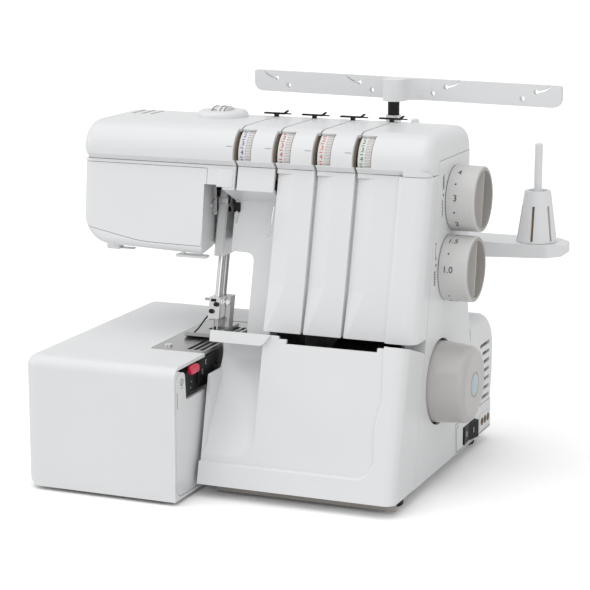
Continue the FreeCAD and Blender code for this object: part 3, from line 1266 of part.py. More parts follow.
def presser_foot():
    """Presser foot with its upturned toe, needle slot and shank."""
    sole_z = BED_TOP + PLAY
    right = FOOT_RIGHT
    sole = [(FOOT_TOE, sole_z + 2), (FOOT_TOE + 6, sole_z), (FOOT_HEEL, sole_z), (FOOT_HEEL,
                                                                                  sole_z + FOOT_SOLE)]
    sole += [(FOOT_TOE + 6, sole_z + FOOT_SOLE, 1), (FOOT_TOE, sole_z + FOOT_SOLE + 2)]
    foot = prism("x", sole, FOOT_LEFT, right)
    plan = [(FOOT_LEFT, FOOT_TOE - 1, FOOT_TOE_RADIUS), (right, FOOT_TOE - 1, 2), (right, FOOT_HEEL, 3),
            (FOOT_LEFT, FOOT_HEEL, 8)]
    foot = foot.common(prism("z", plan, 0, REACH))
    z = CLAMP_BOTTOM
    shank = bar_block(PRESSER_X - SHANK_LEFT, PRESSER_X + SHANK_RIGHT, 3 - PRESSER_SET_BACK,
                      PRESSER_SET_BACK + 5, sole_z + 1, SHANK_TOP)
    foot = fused([foot, shank])
    foot = foot.cut(bar_rod(PRESSER_X, PRESSER_SET_BACK, PRESSER_BOTTOM, z + 40, PRESSER_RADIUS))
    slot = rectangle(BAR_X - NEEDLE_SPACING, BAR_X + NEEDLE_SPACING, bar_y(sole_z) - 5, bar_y(sole_z) + 5,
                     1)
    return foot.cut(prism("z", slot, 0, sole_z + FOOT_SOLE + 1))


def guide_block():
    """Leaning block around the needle bar, before it is bored."""
    half = GUIDE_BLOCK_WIDTH / 2
    block = bar_block(BAR_X - half, BAR_X + half, GUIDE_BLOCK_AHEAD, GUIDE_BLOCK_BEHIND,
                      GUIDE_BLOCK_BOTTOM, GUIDE_BLOCK_TOP)
    on_front = lambda p: p.y < bar_y(p.z) - GUIDE_BLOCK_AHEAD + 1e-3
    upright = lambda edge: edge_on(edge, on_front) and edge.Length > GUIDE_BLOCK_WIDTH * 2
    return block.makeChamfer(GUIDE_BLOCK_CHAMFER, [edge for edge in block.Edges if upright(edge)])


def needle_bar_guide():
    """Polished guide block that both bars run in, held by the lower lug."""
    block = guide_block().cut(bar_rod(BAR_X, 0, COLUMN_BOTTOM, LID_SEAM, BAR_RADIUS + RUN_FIT))
    return block.cut(bar_rod(PRESSER_X, PRESSER_SET_BACK, COLUMN_BOTTOM, LID_SEAM,
                             PRESSER_RADIUS + RUN_FIT))


def rocker_arm_end():
    """Free end of the rocker's fork, just past the drive pin."""
    pin = crank_point()
    pivot = V(0, ROCKER_Y, ROCKER_Z)
    reach = V(0, pin.y, pin.z) - pivot
    return pivot + reach * (1 + 2.2 * CRANK_PIN_RADIUS / reach.Length)


def needle_rocker():
    """Rocking shaft with the forked arm that drives the needle bar."""
    shaft = rod("x", ROCKER_LEFT, RIGHT_WALL_X + FRAME_WALL, ROCKER_Y, ROCKER_Z, ROCKER_RADIUS)
    right = ROCKER_ARM_LEFT + ROCKER_ARM_WIDTH
    boss = rod("x", ROCKER_ARM_LEFT, right, ROCKER_Y, ROCKER_Z, ROCKER_BOSS_RADIUS)
    pivot = V(0, ROCKER_Y, ROCKER_Z)
    end = rocker_arm_end()
    direction = (end - pivot).normalize()
    across = V(0, -direction.z, direction.y)
    half = CRANK_PIN_RADIUS + CRANK_PIN_ROOM + 2.4
    corners = [pivot + across * half, end + across * half, end - across * half, pivot - across * half]
    arm = prism("x", [(corner.y, corner.z) for corner in corners], ROCKER_ARM_LEFT, right)
    gap = CRANK_PIN_RADIUS + CRANK_PIN_ROOM
    inner = end - direction * (6.5 * CRANK_PIN_RADIUS)
    outer = end + direction * 2
    slot = [inner + across * gap, outer + across * gap, outer - across * gap, inner - across * gap]
    arm = arm.cut(prism("x", [(corner.y, corner.z) for corner in slot], ROCKER_ARM_LEFT - 1, right + 1))
    return fused([shaft, boss, arm])


def looper(x, z, tip_x, tip_z, layer):
    """Looper arm on a pivot boss, bent towards its tip."""
    y = LOOPER_Y + layer * (LOOPER_THICKNESS + 1)
    boss = tube("y", y, y + LOOPER_THICKNESS, x, z, LOOPER_BOSS_RADIUS, LOOPER_PIN_RADIUS + RUN_FIT)
    elbow_x = x - LOOPER_BOSS_RADIUS
    outline = [(x + 3, z + LOOPER_BOSS_RADIUS - 1.5), (elbow_x + 6, tip_z - 8, 5), (tip_x, tip_z)]
    outline += [(elbow_x, tip_z - 14, 6), (x - 4, z + LOOPER_BOSS_RADIUS - 3)]
    arm = prism("y", outline, y, y + LOOPER_THICKNESS)
    arm = arm.cut(rod("y", y - 1, y + 10, x, z, LOOPER_PIN_RADIUS + RUN_FIT))
    return fused([boss, arm])


def lower_looper():
    """Looper that crosses under the needle plate."""
    return looper(LOWER_LOOPER_X, LOWER_LOOPER_Z, BAR_X + 6, BED_TOP - PLATE_THICKNESS - 14, 0)


def upper_looper():
    """Looper that rises beside the needle plate."""
    return looper(UPPER_LOOPER_X, UPPER_LOOPER_Z, NEEDLE_PLATE_RIGHT + 6, BED_TOP - 1, 1)


def upper_knife():
    """Moving knife on its guide post."""
    x0 = LOWER_KNIFE_X + KNIFE_THICKNESS + PLAY
    blade = box(x0, x0 + KNIFE_THICKNESS, KNIFE_FRONT, KNIFE_BACK, BED_TOP - 14, KNIFE_TOP)
    middle = (KNIFE_FRONT + KNIFE_BACK) / 2
    arm = box(x0, KNIFE_POST_X + KNIFE_POST_RADIUS, middle - 4, middle + 4, BED_TOP - 14, BED_TOP - 8)
    post = rod("z", KNIFE_POST_BOTTOM, BED_TOP - 10, KNIFE_POST_X, middle, KNIFE_POST_RADIUS)
    return fused([blade, arm, post])


def lower_knife():
    """Fixed knife beside the needle plate, on its foot."""
    blade = box(LOWER_KNIFE_X, LOWER_KNIFE_X + KNIFE_THICKNESS, KNIFE_FRONT, KNIFE_BACK, KNIFE_BRACKET_TOP,
                BED_TOP - PLATE_THICKNESS)
    return blade


def main_frame():
    """Casting that carries the shafts, the arm, the bed and the motor."""
    wall_right = RIGHT_WALL_X + FRAME_WALL
    left_right = LEFT_WALL_X + FRAME_WALL
    deck_bottom = FOOT_HEIGHT + TRAY_FLOOR
    pieces = [box(LEFT_WALL_X, wall_right, FRAME_FRONT - 20, TRAY_BACK - 2 * WALL, deck_bottom, DECK_TOP)]
    behind = RECESS_DEPTH + 3 * WALL
    turn = FRONT_FOOT_Z + (FRAME_FRONT - behind - FRONT_FOOT_Y) / FRONT_LEAN
    upright = [(FRAME_FRONT, deck_bottom), (FRAME_FRONT, turn), (front_y(FRAME_TOP) + behind, FRAME_TOP)]
    upright += [(FRAME_BACK, FRAME_TOP), (FRAME_BACK, deck_bottom)]
    for x in (RIGHT_WALL_X, LEFT_WALL_X):
        pieces.append(prism("x", upright, x, x + FRAME_WALL))
    pieces.append(box(BEAM_LEFT, wall_right, BEAM_FRONT, BEAM_BACK, FRAME_TOP - BEAM_HEIGHT, FRAME_TOP))
    pieces.append(box(HEAD_WALL_X, HEAD_WALL_X + FRAME_WALL, LUG_FRONT, BEAM_BACK,
                      LOWER_LUG_BOTTOM + LUG_HEIGHT / 2, FRAME_TOP))
    lug_right = BAR_X + GUIDE_BLOCK_WIDTH / 2 + 2.5
    pieces.append(box(HEAD_WALL_X, BAR_X, LUG_FRONT, bar_y(LOWER_LUG_BOTTOM) + LUG_BEHIND,
                      LOWER_LUG_BOTTOM, LOWER_LUG_BOTTOM + LUG_HEIGHT))
    pieces.append(box(BAR_X - 6.5, lug_right, bar_y(UPPER_LUG_BOTTOM) - 9, BEAM_FRONT + 2,
                      UPPER_LUG_BOTTOM, UPPER_LUG_BOTTOM + LUG_HEIGHT))
    pieces.append(box(FREE_ARM_LEFT + 2 * WALL, left_right, BED_BEAM_FRONT, BED_BEAM_BACK,
                      FREE_ARM_BOTTOM + WALL, BED_BEAM_TOP))
    pieces.append(box(LOWER_KNIFE_X, left_right, KNIFE_FRONT - 2, FRAME_FRONT + 7, KNIFE_BRACKET_BOTTOM,
                      KNIFE_BRACKET_TOP))
    pieces.append(box(LOWER_KNIFE_X, left_right, FRAME_FRONT, FRAME_FRONT + 7, KNIFE_BRACKET_BOTTOM,
                      UPPER_LOOPER_Z + 8))
    for x, z in ((LOWER_LOOPER_X, LOWER_LOOPER_Z), (UPPER_LOOPER_X, UPPER_LOOPER_Z)):
        pieces.append(rod("y", LOOPER_Y - 2, FRAME_FRONT + 1, x, z, LOOPER_PIN_RADIUS))
    for y, z in ((STITCH_Y, STITCH_Z), (FEED_Y, FEED_Z)):
        pieces.append(rod("x", RIGHT_WALL_X + 1, KNOB_FACE - KNOB_DISH_DEPTH - 3, y, z, KNOB_POST_RADIUS))
    for x in (MOTOR_LEFT + 6, MOTOR_RIGHT - 12):
        pieces.append(box(x, x + 6, MOTOR_Y - 20, MOTOR_Y + 18, deck_bottom, MOTOR_Z - 12))
    for index in range(TENSION_COUNT):
        x = slot_x(index) + DIAL_WIDTH + 3
        pieces.append(box(x, x + 4, DIAL_Y - 6, BEAM_FRONT + 1, FRAME_TOP - BEAM_HEIGHT,
                          DIAL_Z + 2 * SPINDLE_RADIUS))
    frame = fused(pieces)
    frame = frame.cut(rod("x", MOTOR_LEFT, MOTOR_RIGHT, MOTOR_Y, MOTOR_Z, MOTOR_RADIUS))
    frame = frame.cut(rod("x", -REACH, 0, SHAFT_Y, SHAFT_Z, SHAFT_RADIUS + BUSH_WALL))
    frame = frame.cut(rod("x", HEAD_WALL_X - 1, 0, ROCKER_Y, ROCKER_Z, ROCKER_RADIUS + BUSH_WALL))
    frame = frame.cut(rod("x", -REACH, 0, DIAL_Y, DIAL_Z, SPINDLE_RADIUS))
    middle = (KNIFE_FRONT + KNIFE_BACK) / 2
    frame = frame.cut(rod("z", 0, KNIFE_BRACKET_TOP + 1, KNIFE_POST_X, middle, KNIFE_POST_RADIUS + RUN_FIT))
    frame = frame.cut(bar_rod(BAR_X, 0, UPPER_LUG_BOTTOM - 5, FRAME_TOP + 5, BAR_RADIUS + BAR_BUSH_WALL))
    frame = frame.cut(guide_block())
    return frame.cut(bar_rod(PRESSER_X, PRESSER_SET_BACK, COLUMN_BOTTOM, FRAME_TOP + 5,
                             PRESSER_RADIUS + BAR_BUSH_WALL))


def shaft_bushes():
    """Plain bushes pressed into the frame for every shaft and bar."""
    pieces = []
    for x in (RIGHT_WALL_X, LEFT_WALL_X):
        pieces.append(tube("x", x, x + FRAME_WALL, SHAFT_Y, SHAFT_Z, SHAFT_RADIUS + BUSH_WALL,
                           SHAFT_RADIUS + RUN_FIT))
    for x in (RIGHT_WALL_X, LEFT_WALL_X, HEAD_WALL_X):
        pieces.append(tube("x", x, x + FRAME_WALL, ROCKER_Y, ROCKER_Z, ROCKER_RADIUS + BUSH_WALL,
                           ROCKER_RADIUS + RUN_FIT))
    z = UPPER_LUG_BOTTOM
    for x, set_back, radius in ((BAR_X, 0, BAR_RADIUS), (PRESSER_X, PRESSER_SET_BACK, PRESSER_RADIUS)):
        level = box(x - 20, x + 20, 0, REACH, z, z + LUG_HEIGHT)
        bush = bar_rod(x, set_back, z - 5, z + LUG_HEIGHT + 5, radius + BAR_BUSH_WALL)
        bush = bush.cut(bar_rod(x, set_back, z - 9, z + LUG_HEIGHT + 9, radius + RUN_FIT))
        pieces.append(bush.common(level))
    return Part.makeCompound(pieces)


def main_shaft():
    """Drive shaft between the handwheel and the looper end, with its eccentric."""
    shaft = rod("x", LEFT_WALL_X - SHAFT_PROUD, WHEEL_FACE - SHAFT_SUNK, SHAFT_Y, SHAFT_Z, SHAFT_RADIUS)
    left = LEFT_WALL_X + FRAME_WALL + ECCENTRIC_GAP
    eccentric = rod("x", left, left + ECCENTRIC_WIDTH, SHAFT_Y + ECCENTRIC_THROW, SHAFT_Z,
                    SHAFT_RADIUS + ECCENTRIC_WALL)
    return fused([shaft, eccentric])


def shaft_pulley():
    """Large belt pulley on the drive shaft."""
    return tube("x", PULLEY_LEFT, PULLEY_LEFT + PULLEY_WIDTH, SHAFT_Y, SHAFT_Z, SHAFT_PULLEY_RADIUS,
                SHAFT_RADIUS)


def motor_pulley():
    """Small belt pulley with the motor's shaft end."""
    pulley = rod("x", PULLEY_LEFT, PULLEY_LEFT + PULLEY_WIDTH, MOTOR_Y, MOTOR_Z, MOTOR_PULLEY_RADIUS)
    spindle = rod("x", MOTOR_RIGHT - 10, PULLEY_LEFT + 1, MOTOR_Y, MOTOR_Z, SPINDLE_RADIUS)
    return fused([pulley, spindle])


def drive_motor():
    """Motor can with end bosses and the clearance bore of its shaft."""
    can = rod("x", MOTOR_LEFT, MOTOR_RIGHT, MOTOR_Y, MOTOR_Z, MOTOR_RADIUS)
    can = soften(can, 3, lambda edge: edge_on(edge, lambda p: p.x < MOTOR_LEFT + 1e-6))
    return can.cut(rod("x", MOTOR_RIGHT - 11, MOTOR_RIGHT + 1, MOTOR_Y, MOTOR_Z, SPINDLE_RADIUS + RUN_FIT))


def belt_face(grow):
    """Face inside a belt loop whose radii are grown from the pulleys' by an allowance."""
    big = SHAFT_PULLEY_RADIUS + grow
    small = MOTOR_PULLEY_RADIUS + grow
    start = V(PULLEY_LEFT, SHAFT_Y, SHAFT_Z)
    end = V(PULLEY_LEFT, MOTOR_Y, MOTOR_Z)
    line = (end - start).normalize()
    square = V(0, -line.z, line.y)
    sine = (big - small) / (end - start).Length
    cosine = math.sqrt(1 - sine ** 2)
    up = line * sine + square * cosine
    down = line * sine - square * cosine
    edges = [Part.LineSegment(start + up * big, end + up * small).toShape()]
    edges.append(Part.Arc(end + up * small, end + line * small, end + down * small).toShape())
    edges.append(Part.LineSegment(end + down * small, start + down * big).toShape())
    edges.append(Part.Arc(start + down * big, start - line * big, start + up * big).toShape())
    return Part.Face(Part.Wire(edges))


def drive_belt():
    """Flat belt round both pulleys."""
    width = along("x", PULLEY_WIDTH)
    outer = belt_face(BELT_ROOM + BELT_THICKNESS).extrude(width)
    return outer.cut(belt_face(BELT_ROOM).extrude(width))


def handwheel():
    """Rounded handwheel with a raised middle cap and hub bore."""
    wheel = Part.makeCone(WHEEL_RADIUS, WHEEL_FACE_RADIUS, WHEEL_FACE - WHEEL_BACK, V(WHEEL_BACK, SHAFT_Y,
                                                                                      SHAFT_Z), V(1, 0, 0))
    wheel = soften(wheel, WHEEL_EDGE_RADIUS, lambda edge: edge_on(edge, lambda p: p.x > WHEEL_FACE - 1e-6))
    ring = tube("x", WHEEL_FACE - 0.6, WHEEL_FACE + 1, SHAFT_Y, SHAFT_Z, WHEEL_CAP_RADIUS + 1,
                WHEEL_CAP_RADIUS)
    wheel = wheel.cut(ring)
    return wheel.cut(rod("x", WHEEL_BACK - 1, WHEEL_FACE - 8, SHAFT_Y, SHAFT_Z, SHAFT_RADIUS))


def side_knob(y, z):
    """Round side dial with a dished face and a grip bar."""
    knob = rod("x", KNOB_GAP, KNOB_FACE, y, z, KNOB_RADIUS)
    knob = soften(knob, 1.2, lambda edge: edge_on(edge, lambda p: p.x > KNOB_FACE - 1e-6))
    dish = rod("x", KNOB_FACE - KNOB_DISH_DEPTH, KNOB_FACE + 1, y, z, KNOB_DISH_RADIUS)
    low = KNOB_FACE - KNOB_DISH_DEPTH
    ridge = [(low, y - KNOB_GRIP_WIDTH / 2), (KNOB_FACE - 0.6, y - KNOB_GRIP_TOP / 2)]
    ridge += [(KNOB_FACE - 0.6, y + KNOB_GRIP_TOP / 2), (low, y + KNOB_GRIP_WIDTH / 2)]
    grip = prism("z", ridge, z - KNOB_DISH_RADIUS - 0.5, z + KNOB_DISH_RADIUS + 0.5)
    grip.rotate(V(0, y, z), V(1, 0, 0), KNOB_GRIP_TILT)
    knob = knob.cut(dish).fuse(grip)
    return knob.cut(rod("x", 0, KNOB_FACE - KNOB_DISH_DEPTH - 3 + PLAY, y, z, KNOB_POST_RADIUS + RUN_FIT))


def tension_dial(index):
    """Thumb wheel of one thread tension, knurled on its right half."""
    x = slot_x(index)
    wheel = rod("x", x, x + DIAL_WIDTH, DIAL_Y, DIAL_Z, DIAL_RADIUS)
    grooves = []
    for step in range(DIAL_TEETH):
        angle = 2 * math.pi * step / DIAL_TEETH
        y = DIAL_Y + DIAL_RADIUS * math.cos(angle)
        z = DIAL_Z + DIAL_RADIUS * math.sin(angle)
        grooves.append(rod("x", x + DIAL_WIDTH / 2, x + DIAL_WIDTH - 0.8, y, z, 0.7))
    wheel = wheel.cut(Part.makeCompound(grooves))
    return wheel.cut(rod("x", x - 1, x + DIAL_WIDTH + 1, DIAL_Y, DIAL_Z, SPINDLE_RADIUS + RUN_FIT))


def tension_spindle():
    """Spindle of the dials, with a pair of tension discs in each slot."""
    left = slot_x(0) - SLOT_WIDTH - 4
    spindle = rod("x", left, slot_x(TENSION_COUNT - 1) + DIAL_WIDTH + 8, DIAL_Y, DIAL_Z, SPINDLE_RADIUS)
    pieces = [spindle]
    for index in range(TENSION_COUNT):
        x = slot_x(index) - SLOT_WIDTH
        for start in (x, x + SLOT_WIDTH - 2 * DISC_THICKNESS):
            pieces.append(tube("x", start, start + DISC_THICKNESS, DIAL_Y, DIAL_Z, DISC_RADIUS,
                               SPINDLE_RADIUS))
    return Part.makeCompound(pieces)


def pressure_dial():
    """Wheel on the lid that sets the presser foot's pressure."""
    half = PRESSURE_WIDTH / 2
    wheel = rod("x", PRESSURE_X - half, PRESSURE_X + half, PRESSURE_Y, PRESSURE_Z, PRESSURE_RADIUS)
    wheel = soften(wheel, 1, lambda edge: edge.Length > PRESSURE_RADIUS * 4)
    reach = half + DIAL_ROOM + PRESSURE_EAR - PLAY
    pin = rod("x", PRESSURE_X - reach, PRESSURE_X + reach, PRESSURE_Y, PRESSURE_Z, PRESSURE_PIN_RADIUS)
    return fused([wheel, pin])


def thread_guides():
    """Four dark bars on small posts behind the slots, each with one end bent up."""
    groups = []
    half = TOP_GUIDE_WIDTH / 2
    for index in range(TENSION_COUNT):
        x = slot_x(index) - SLIT_WIDTH / 2
        low = BODY_TOP + TOP_GUIDE_HEIGHT
        outline = [(x - half, low), (x + half - 3, low), (x + half, low + 2.6), (x + half - 1, low + 3.4)]
        outline += [(x + half - 4, low + TOP_GUIDE_STRIP), (x - half, low + TOP_GUIDE_STRIP)]
        bar = prism("y", outline, TOP_GUIDE_Y, TOP_GUIDE_Y + 3)
        post = box(x - 1.5, x + 1.5, TOP_GUIDE_Y, TOP_GUIDE_Y + 3, BODY_TOP, low + TOP_GUIDE_STRIP / 2)
        groups.append(fused([bar, post]))
    return Part.makeCompound(groups)


def presser_lifter():
    """Lever behind the arm that raises the presser foot."""
    y0 = BODY_BACK + PLAY
    boss = rod("y", y0, y0 + LIFTER_THICKNESS, LIFTER_X, LIFTER_Z, LIFTER_BOSS_RADIUS)
    outline = [(LIFTER_X - 6, LIFTER_Z), (LIFTER_X + 6, LIFTER_Z), (LIFTER_X + 4, LIFTER_Z - LIFTER_LENGTH,
                                                                    4)]
    outline.append((LIFTER_X - 4, LIFTER_Z - LIFTER_LENGTH, 4))
    blade = prism("y", outline, y0, y0 + LIFTER_THICKNESS)
    pin = rod("y", BODY_BACK - WALL - 8, y0 + 1, LIFTER_X, LIFTER_Z, LIFTER_PIN_RADIUS)
    return fused([boss, blade, pin])


def spool_stand():
    """Plate behind the body for the spools, thinner towards its ends."""
    low = STAND_TOP - STAND_THICKNESS
    tip_low = STAND_TOP - STAND_TIP_THICKNESS
    outline = [(STAND_X - STAND_HALF, STAND_TOP, 2), (STAND_X + STAND_HALF, STAND_TOP, 2),
               (STAND_X + STAND_HALF, tip_low, 3)]
    outline += [(STAND_X + STAND_ROOT_WIDTH / 2, low), (STAND_X - STAND_ROOT_WIDTH / 2, low),
                (STAND_X - STAND_HALF, tip_low, 3)]
    plate = prism("y", outline, STAND_Y - STAND_DEPTH / 2, STAND_Y + STAND_DEPTH / 2)
    left = STAND_X - STAND_HALF
    right = STAND_X + STAND_HALF
    front = STAND_Y - STAND_DEPTH / 2
    back = STAND_Y + STAND_DEPTH / 2
    plan = [(left + STAND_CORNER, front), (right - STAND_CORNER, front), (right, front + STAND_CORNER)]
    plan += [(right, back - STAND_CORNER), (right - STAND_CORNER, back), (left + STAND_CORNER, back)]
    plan += [(left, back - STAND_CORNER), (left, front + STAND_CORNER)]
    plan = [(corner[0], corner[1], 4) for corner in plan]
    plate = plate.common(prism("z", plan, 0, REACH))
    root = box(STAND_X - STAND_ROOT_WIDTH / 2, STAND_X + STAND_ROOT_WIDTH / 2, BODY_BACK,
               STAND_Y - STAND_DEPTH / 2 + 2,
               low, STAND_TOP)
    stand = fused([plate, root])
    for index in range(SPOOL_COUNT):
        stand = stand.cut(rod("z", STAND_TOP - 6, STAND_TOP + 1, spool_x(index), STAND_Y, SPOOL_PIN_RADIUS))
    return stand.cut(rod("z", 0, REACH, STAND_X, POLE_Y, POLE_RADIUS))


def spool_pins():
    """Four steel pins with rounded tops."""
    pins = []
    for index in range(SPOOL_COUNT):
        pin = rod("z", STAND_TOP - 6, SPOOL_PIN_TOP, spool_x(index), STAND_Y, SPOOL_PIN_RADIUS)
        at_top = lambda p: p.z > SPOOL_PIN_TOP - 1e-6
        pins.append(soften(pin, SPOOL_PIN_RADIUS / 2, lambda edge: edge_on(edge, at_top)))
    return Part.makeCompound(pins)


def spool_cone(index):
    """Thin slotted cone that lifts off its pin, with an open top around the bore."""
    x = spool_x(index)
    low = STAND_TOP + PLAY
    foot = V(x, STAND_Y, low)
    up = V(0, 0, 1)
    slope = (CONE_BASE_RADIUS - CONE_TOP_RADIUS) / CONE_HEIGHT
    web = CONE_HEIGHT - CONE_MOUTH - CONE_WALL
    holder = Part.makeCone(CONE_BASE_RADIUS, CONE_TOP_RADIUS, CONE_HEIGHT, foot, up)
    under = Part.makeCone(CONE_BASE_RADIUS - CONE_WALL, CONE_BASE_RADIUS - CONE_WALL - slope * web, web,
                          foot, up)
    mouth = rod("z", low + CONE_HEIGHT - CONE_MOUTH, REACH, x, STAND_Y, CONE_TOP_RADIUS - CONE_WALL)
    holder = holder.cut(under).cut(mouth)
    for turn in range(CONE_SLOT_COUNT):
        slot = box(x, x + CONE_BASE_RADIUS, STAND_Y - CONE_SLOT_WIDTH / 2, STAND_Y + CONE_SLOT_WIDTH / 2,
                   low + CONE_WALL / 2, low + CONE_SLOT_TOP)
        slot.rotate(foot, up, 360 / CONE_SLOT_COUNT * (turn + 0.5))
        holder = holder.cut(slot)
    return holder.cut(rod("z", 0, REACH, x, STAND_Y, SPOOL_PIN_RADIUS + PLAY))


def pole_tube():
    """Outer tube of the telescopic pole, fixed in the stand."""
    return tube("z", POLE_BOTTOM, POLE_TOP, STAND_X, POLE_Y, POLE_RADIUS, POLE_ROD_RADIUS + RUN_FIT)


def pole_rod():
    """Inner rod of the telescopic pole."""
    return rod("z", POLE_BOTTOM + 4, GUIDE_BOTTOM + GUIDE_HEIGHT / 2, STAND_X, POLE_Y, POLE_ROD_RADIUS)


def guide_slit(x, z, side):
    """Curved slit from the guide bar's top edge to a hole, on the side away from the pole."""
    centre = z + GUIDE_SLIT_RADIUS
    half = GUIDE_SLIT_WIDTH / 2
    ring = tube("y", 0, REACH, x, centre, GUIDE_SLIT_RADIUS + half, GUIDE_SLIT_RADIUS - half)
    low, high = sorted((x, x + side * GUIDE_SLIT_RADIUS))
    return ring.common(box(low, high, 0, REACH, z - 1, centre))


def thread_guide_bar():
    """Guide bar on the pole, with a boss, and a slit hole and an eye for each thread."""
    top = GUIDE_BOTTOM + GUIDE_HEIGHT
    half = GUIDE_THICKNESS / 2
    outline = [(STAND_X - GUIDE_HALF, top, 2), (STAND_X + GUIDE_HALF, top, 2)]
    outline.append((STAND_X + GUIDE_HALF, GUIDE_BOTTOM, GUIDE_CORNER_RADIUS))
    outline.append((STAND_X - GUIDE_HALF, GUIDE_BOTTOM, GUIDE_CORNER_RADIUS))
    bar = prism("y", outline, STAND_Y - half, STAND_Y + half)
    front = STAND_Y - half
    wide = GUIDE_BOSS_RADIUS + GUIDE_BOSS_FAIRING
    plan = [(STAND_X - wide, front), (STAND_X - GUIDE_BOSS_RADIUS, front - 1, GUIDE_BOSS_FAIRING / 2)]
    plan += [(STAND_X - GUIDE_BOSS_RADIUS, POLE_Y), (STAND_X + GUIDE_BOSS_RADIUS, POLE_Y)]
    plan += [(STAND_X + GUIDE_BOSS_RADIUS, front - 1, GUIDE_BOSS_FAIRING / 2), (STAND_X + wide, front)]
    plan += [(STAND_X + wide, STAND_Y), (STAND_X - wide, STAND_Y)]
    web = prism("z", plan, GUIDE_BOTTOM, top)
    bar = fused([bar, web, rod("z", GUIDE_BOTTOM, top, STAND_X, POLE_Y, GUIDE_BOSS_RADIUS)])
    hole_z = top - GUIDE_HEIGHT / 3
    eye_z = GUIDE_BOTTOM + GUIDE_HEIGHT / 3
    for index in range(SPOOL_COUNT):
        x = spool_x(index)
        side = -1 if x < STAND_X else 1
        bar = bar.cut(rod("y", 0, REACH, x, hole_z, GUIDE_HOLE_RADIUS)).cut(guide_slit(x, hole_z, side))
        bar = bar.cut(rod("y", 0, REACH, x - side * GUIDE_HOLE_STEP, eye_z, GUIDE_HOLE_RADIUS))
    bar = bar.cut(rod("z", 0, GUIDE_BOTTOM + GUIDE_HEIGHT / 2 + PLAY, STAND_X, POLE_Y,
                      POLE_ROD_RADIUS + RUN_FIT))
    bar.rotate(V(STAND_X, POLE_Y, 0), V(0, 0, 1), GUIDE_TURN)
    return bar


def case_screws():
    """Screw heads on the needle plate and the back covers."""
    pieces = []
    plate_x = NEEDLE_PLATE_LEFT + 3 * SCREW_RADIUS
    for y in (NEEDLE_PLATE_FRONT + 4 * SCREW_RADIUS, NEEDLE_PLATE_BACK - 2 * SCREW_RADIUS):
        pieces.append(rod("z", BED_TOP, BED_TOP + SCREW_HEAD, plate_x, y, SCREW_RADIUS))
    back_z = LID_SEAM - SCREW_DROP
    back_x = [BODY_LEFT + SCREW_LEFT_INSET, COLUMN_LEFT + SCREW_COLUMN_INSET]
    back_x.append(-SIDE_DEPTH - SCREW_RIGHT_INSET)
    for x in back_x:
        pieces.append(rod("y", BODY_BACK, BODY_BACK + SCREW_HEAD, x, back_z, SCREW_RADIUS))
    return Part.makeCompound(pieces)


def build():
    """Every piece by name, in the machine's own axes."""
    shell = arm_shell()
    pieces = {
        "base_tray": base_tray(),
        "rubber_feet": rubber_feet(),
        "main_frame": main_frame(),
        "shaft_bushes": shaft_bushes(),
        "free_arm": free_arm(),
        "needle_plate": needle_plate(),
        "looper_bay_panel": looper_bay_panel(),
        "lower_knife": lower_knife(),
        "head_cover": head_cover(shell),
        "head_panel": head_panel(shell),
        "rear_cover": rear_cover(shell),
        "top_cover": top_cover(),
        "tension_panel": tension_panel(),
        "right_side_cover": right_side_cover(),
        "motor_cover": motor_cover(),
        "power_plate": power_plate(),
        "power_inlet": power_inlet(),
        "power_switch": power_switch(),
        "drive_motor": drive_motor(),
        "motor_pulley": motor_pulley(),
        "drive_belt": drive_belt(),
        "main_shaft": main_shaft(),
        "shaft_pulley": shaft_pulley(),
        "handwheel": handwheel(),
        "needle_rocker": needle_rocker(),
        "needle_bar": needle_bar(),
        "needle_clamp": needle_clamp(),
        "needles": needles(),
        "needle_bar_guide": needle_bar_guide(),
        "presser_bar": presser_bar(),
        "presser_foot": presser_foot(),
        "presser_lifter": presser_lifter(),
        "lower_looper": lower_looper(),
        "upper_looper": upper_looper(),
        "upper_knife": upper_knife(),
        "feed_dogs": feed_dogs(),
        "stitch_length_dial": side_knob(STITCH_Y, STITCH_Z),
        "differential_feed_dial": side_knob(FEED_Y, FEED_Z),
        "pressure_dial": pressure_dial(),
        "tension_spindle": tension_spindle(),
        "cover_hinge_rod": cover_hinge_rod(),
        "hinge_sleeve": hinge_sleeve(),
        "looper_cover": looper_cover(),
        "extension_table": extension_table(),
        "release_button": release_button(),
        "thread_guides": thread_guides(),
        "case_screws": case_screws(),
        "spool_stand": spool_stand(),
        "spool_pins": spool_pins(),
        "pole_tube": pole_tube(),
        "pole_rod": pole_rod(),
        "thread_guide_bar": thread_guide_bar(),
    }
    for index in range(TENSION_COUNT):
        pieces["tension_dial_%d" % (index + 1)] = tension_dial(index)
    for index in range(SPOOL_COUNT):
        pieces["spool_cone_%d" % (index + 1)] = spool_cone(index)
    return pieces


os.makedirs("parts", exist_ok=True)
for name, shape in build().items():
    moved = shape.translated(ORIGIN_SHIFT)
    moved.exportStep("parts/%s.step" % name)
    print(name, "valid" if moved.isValid() else "INVALID", len(moved.Solids), round(moved.Volume / 1000, 2))
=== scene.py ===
# %% [markdown]
# # Overlock machine: the dressed model
# The solids of the machine come in as a frame that is already in place. This lesson gives them
# their finishes, adds the small parts a photographer would catch, and sets up a plain studio.

# %% The frame
import bpy
import bmesh
import json
import math
from mathutils import Matrix, Vector


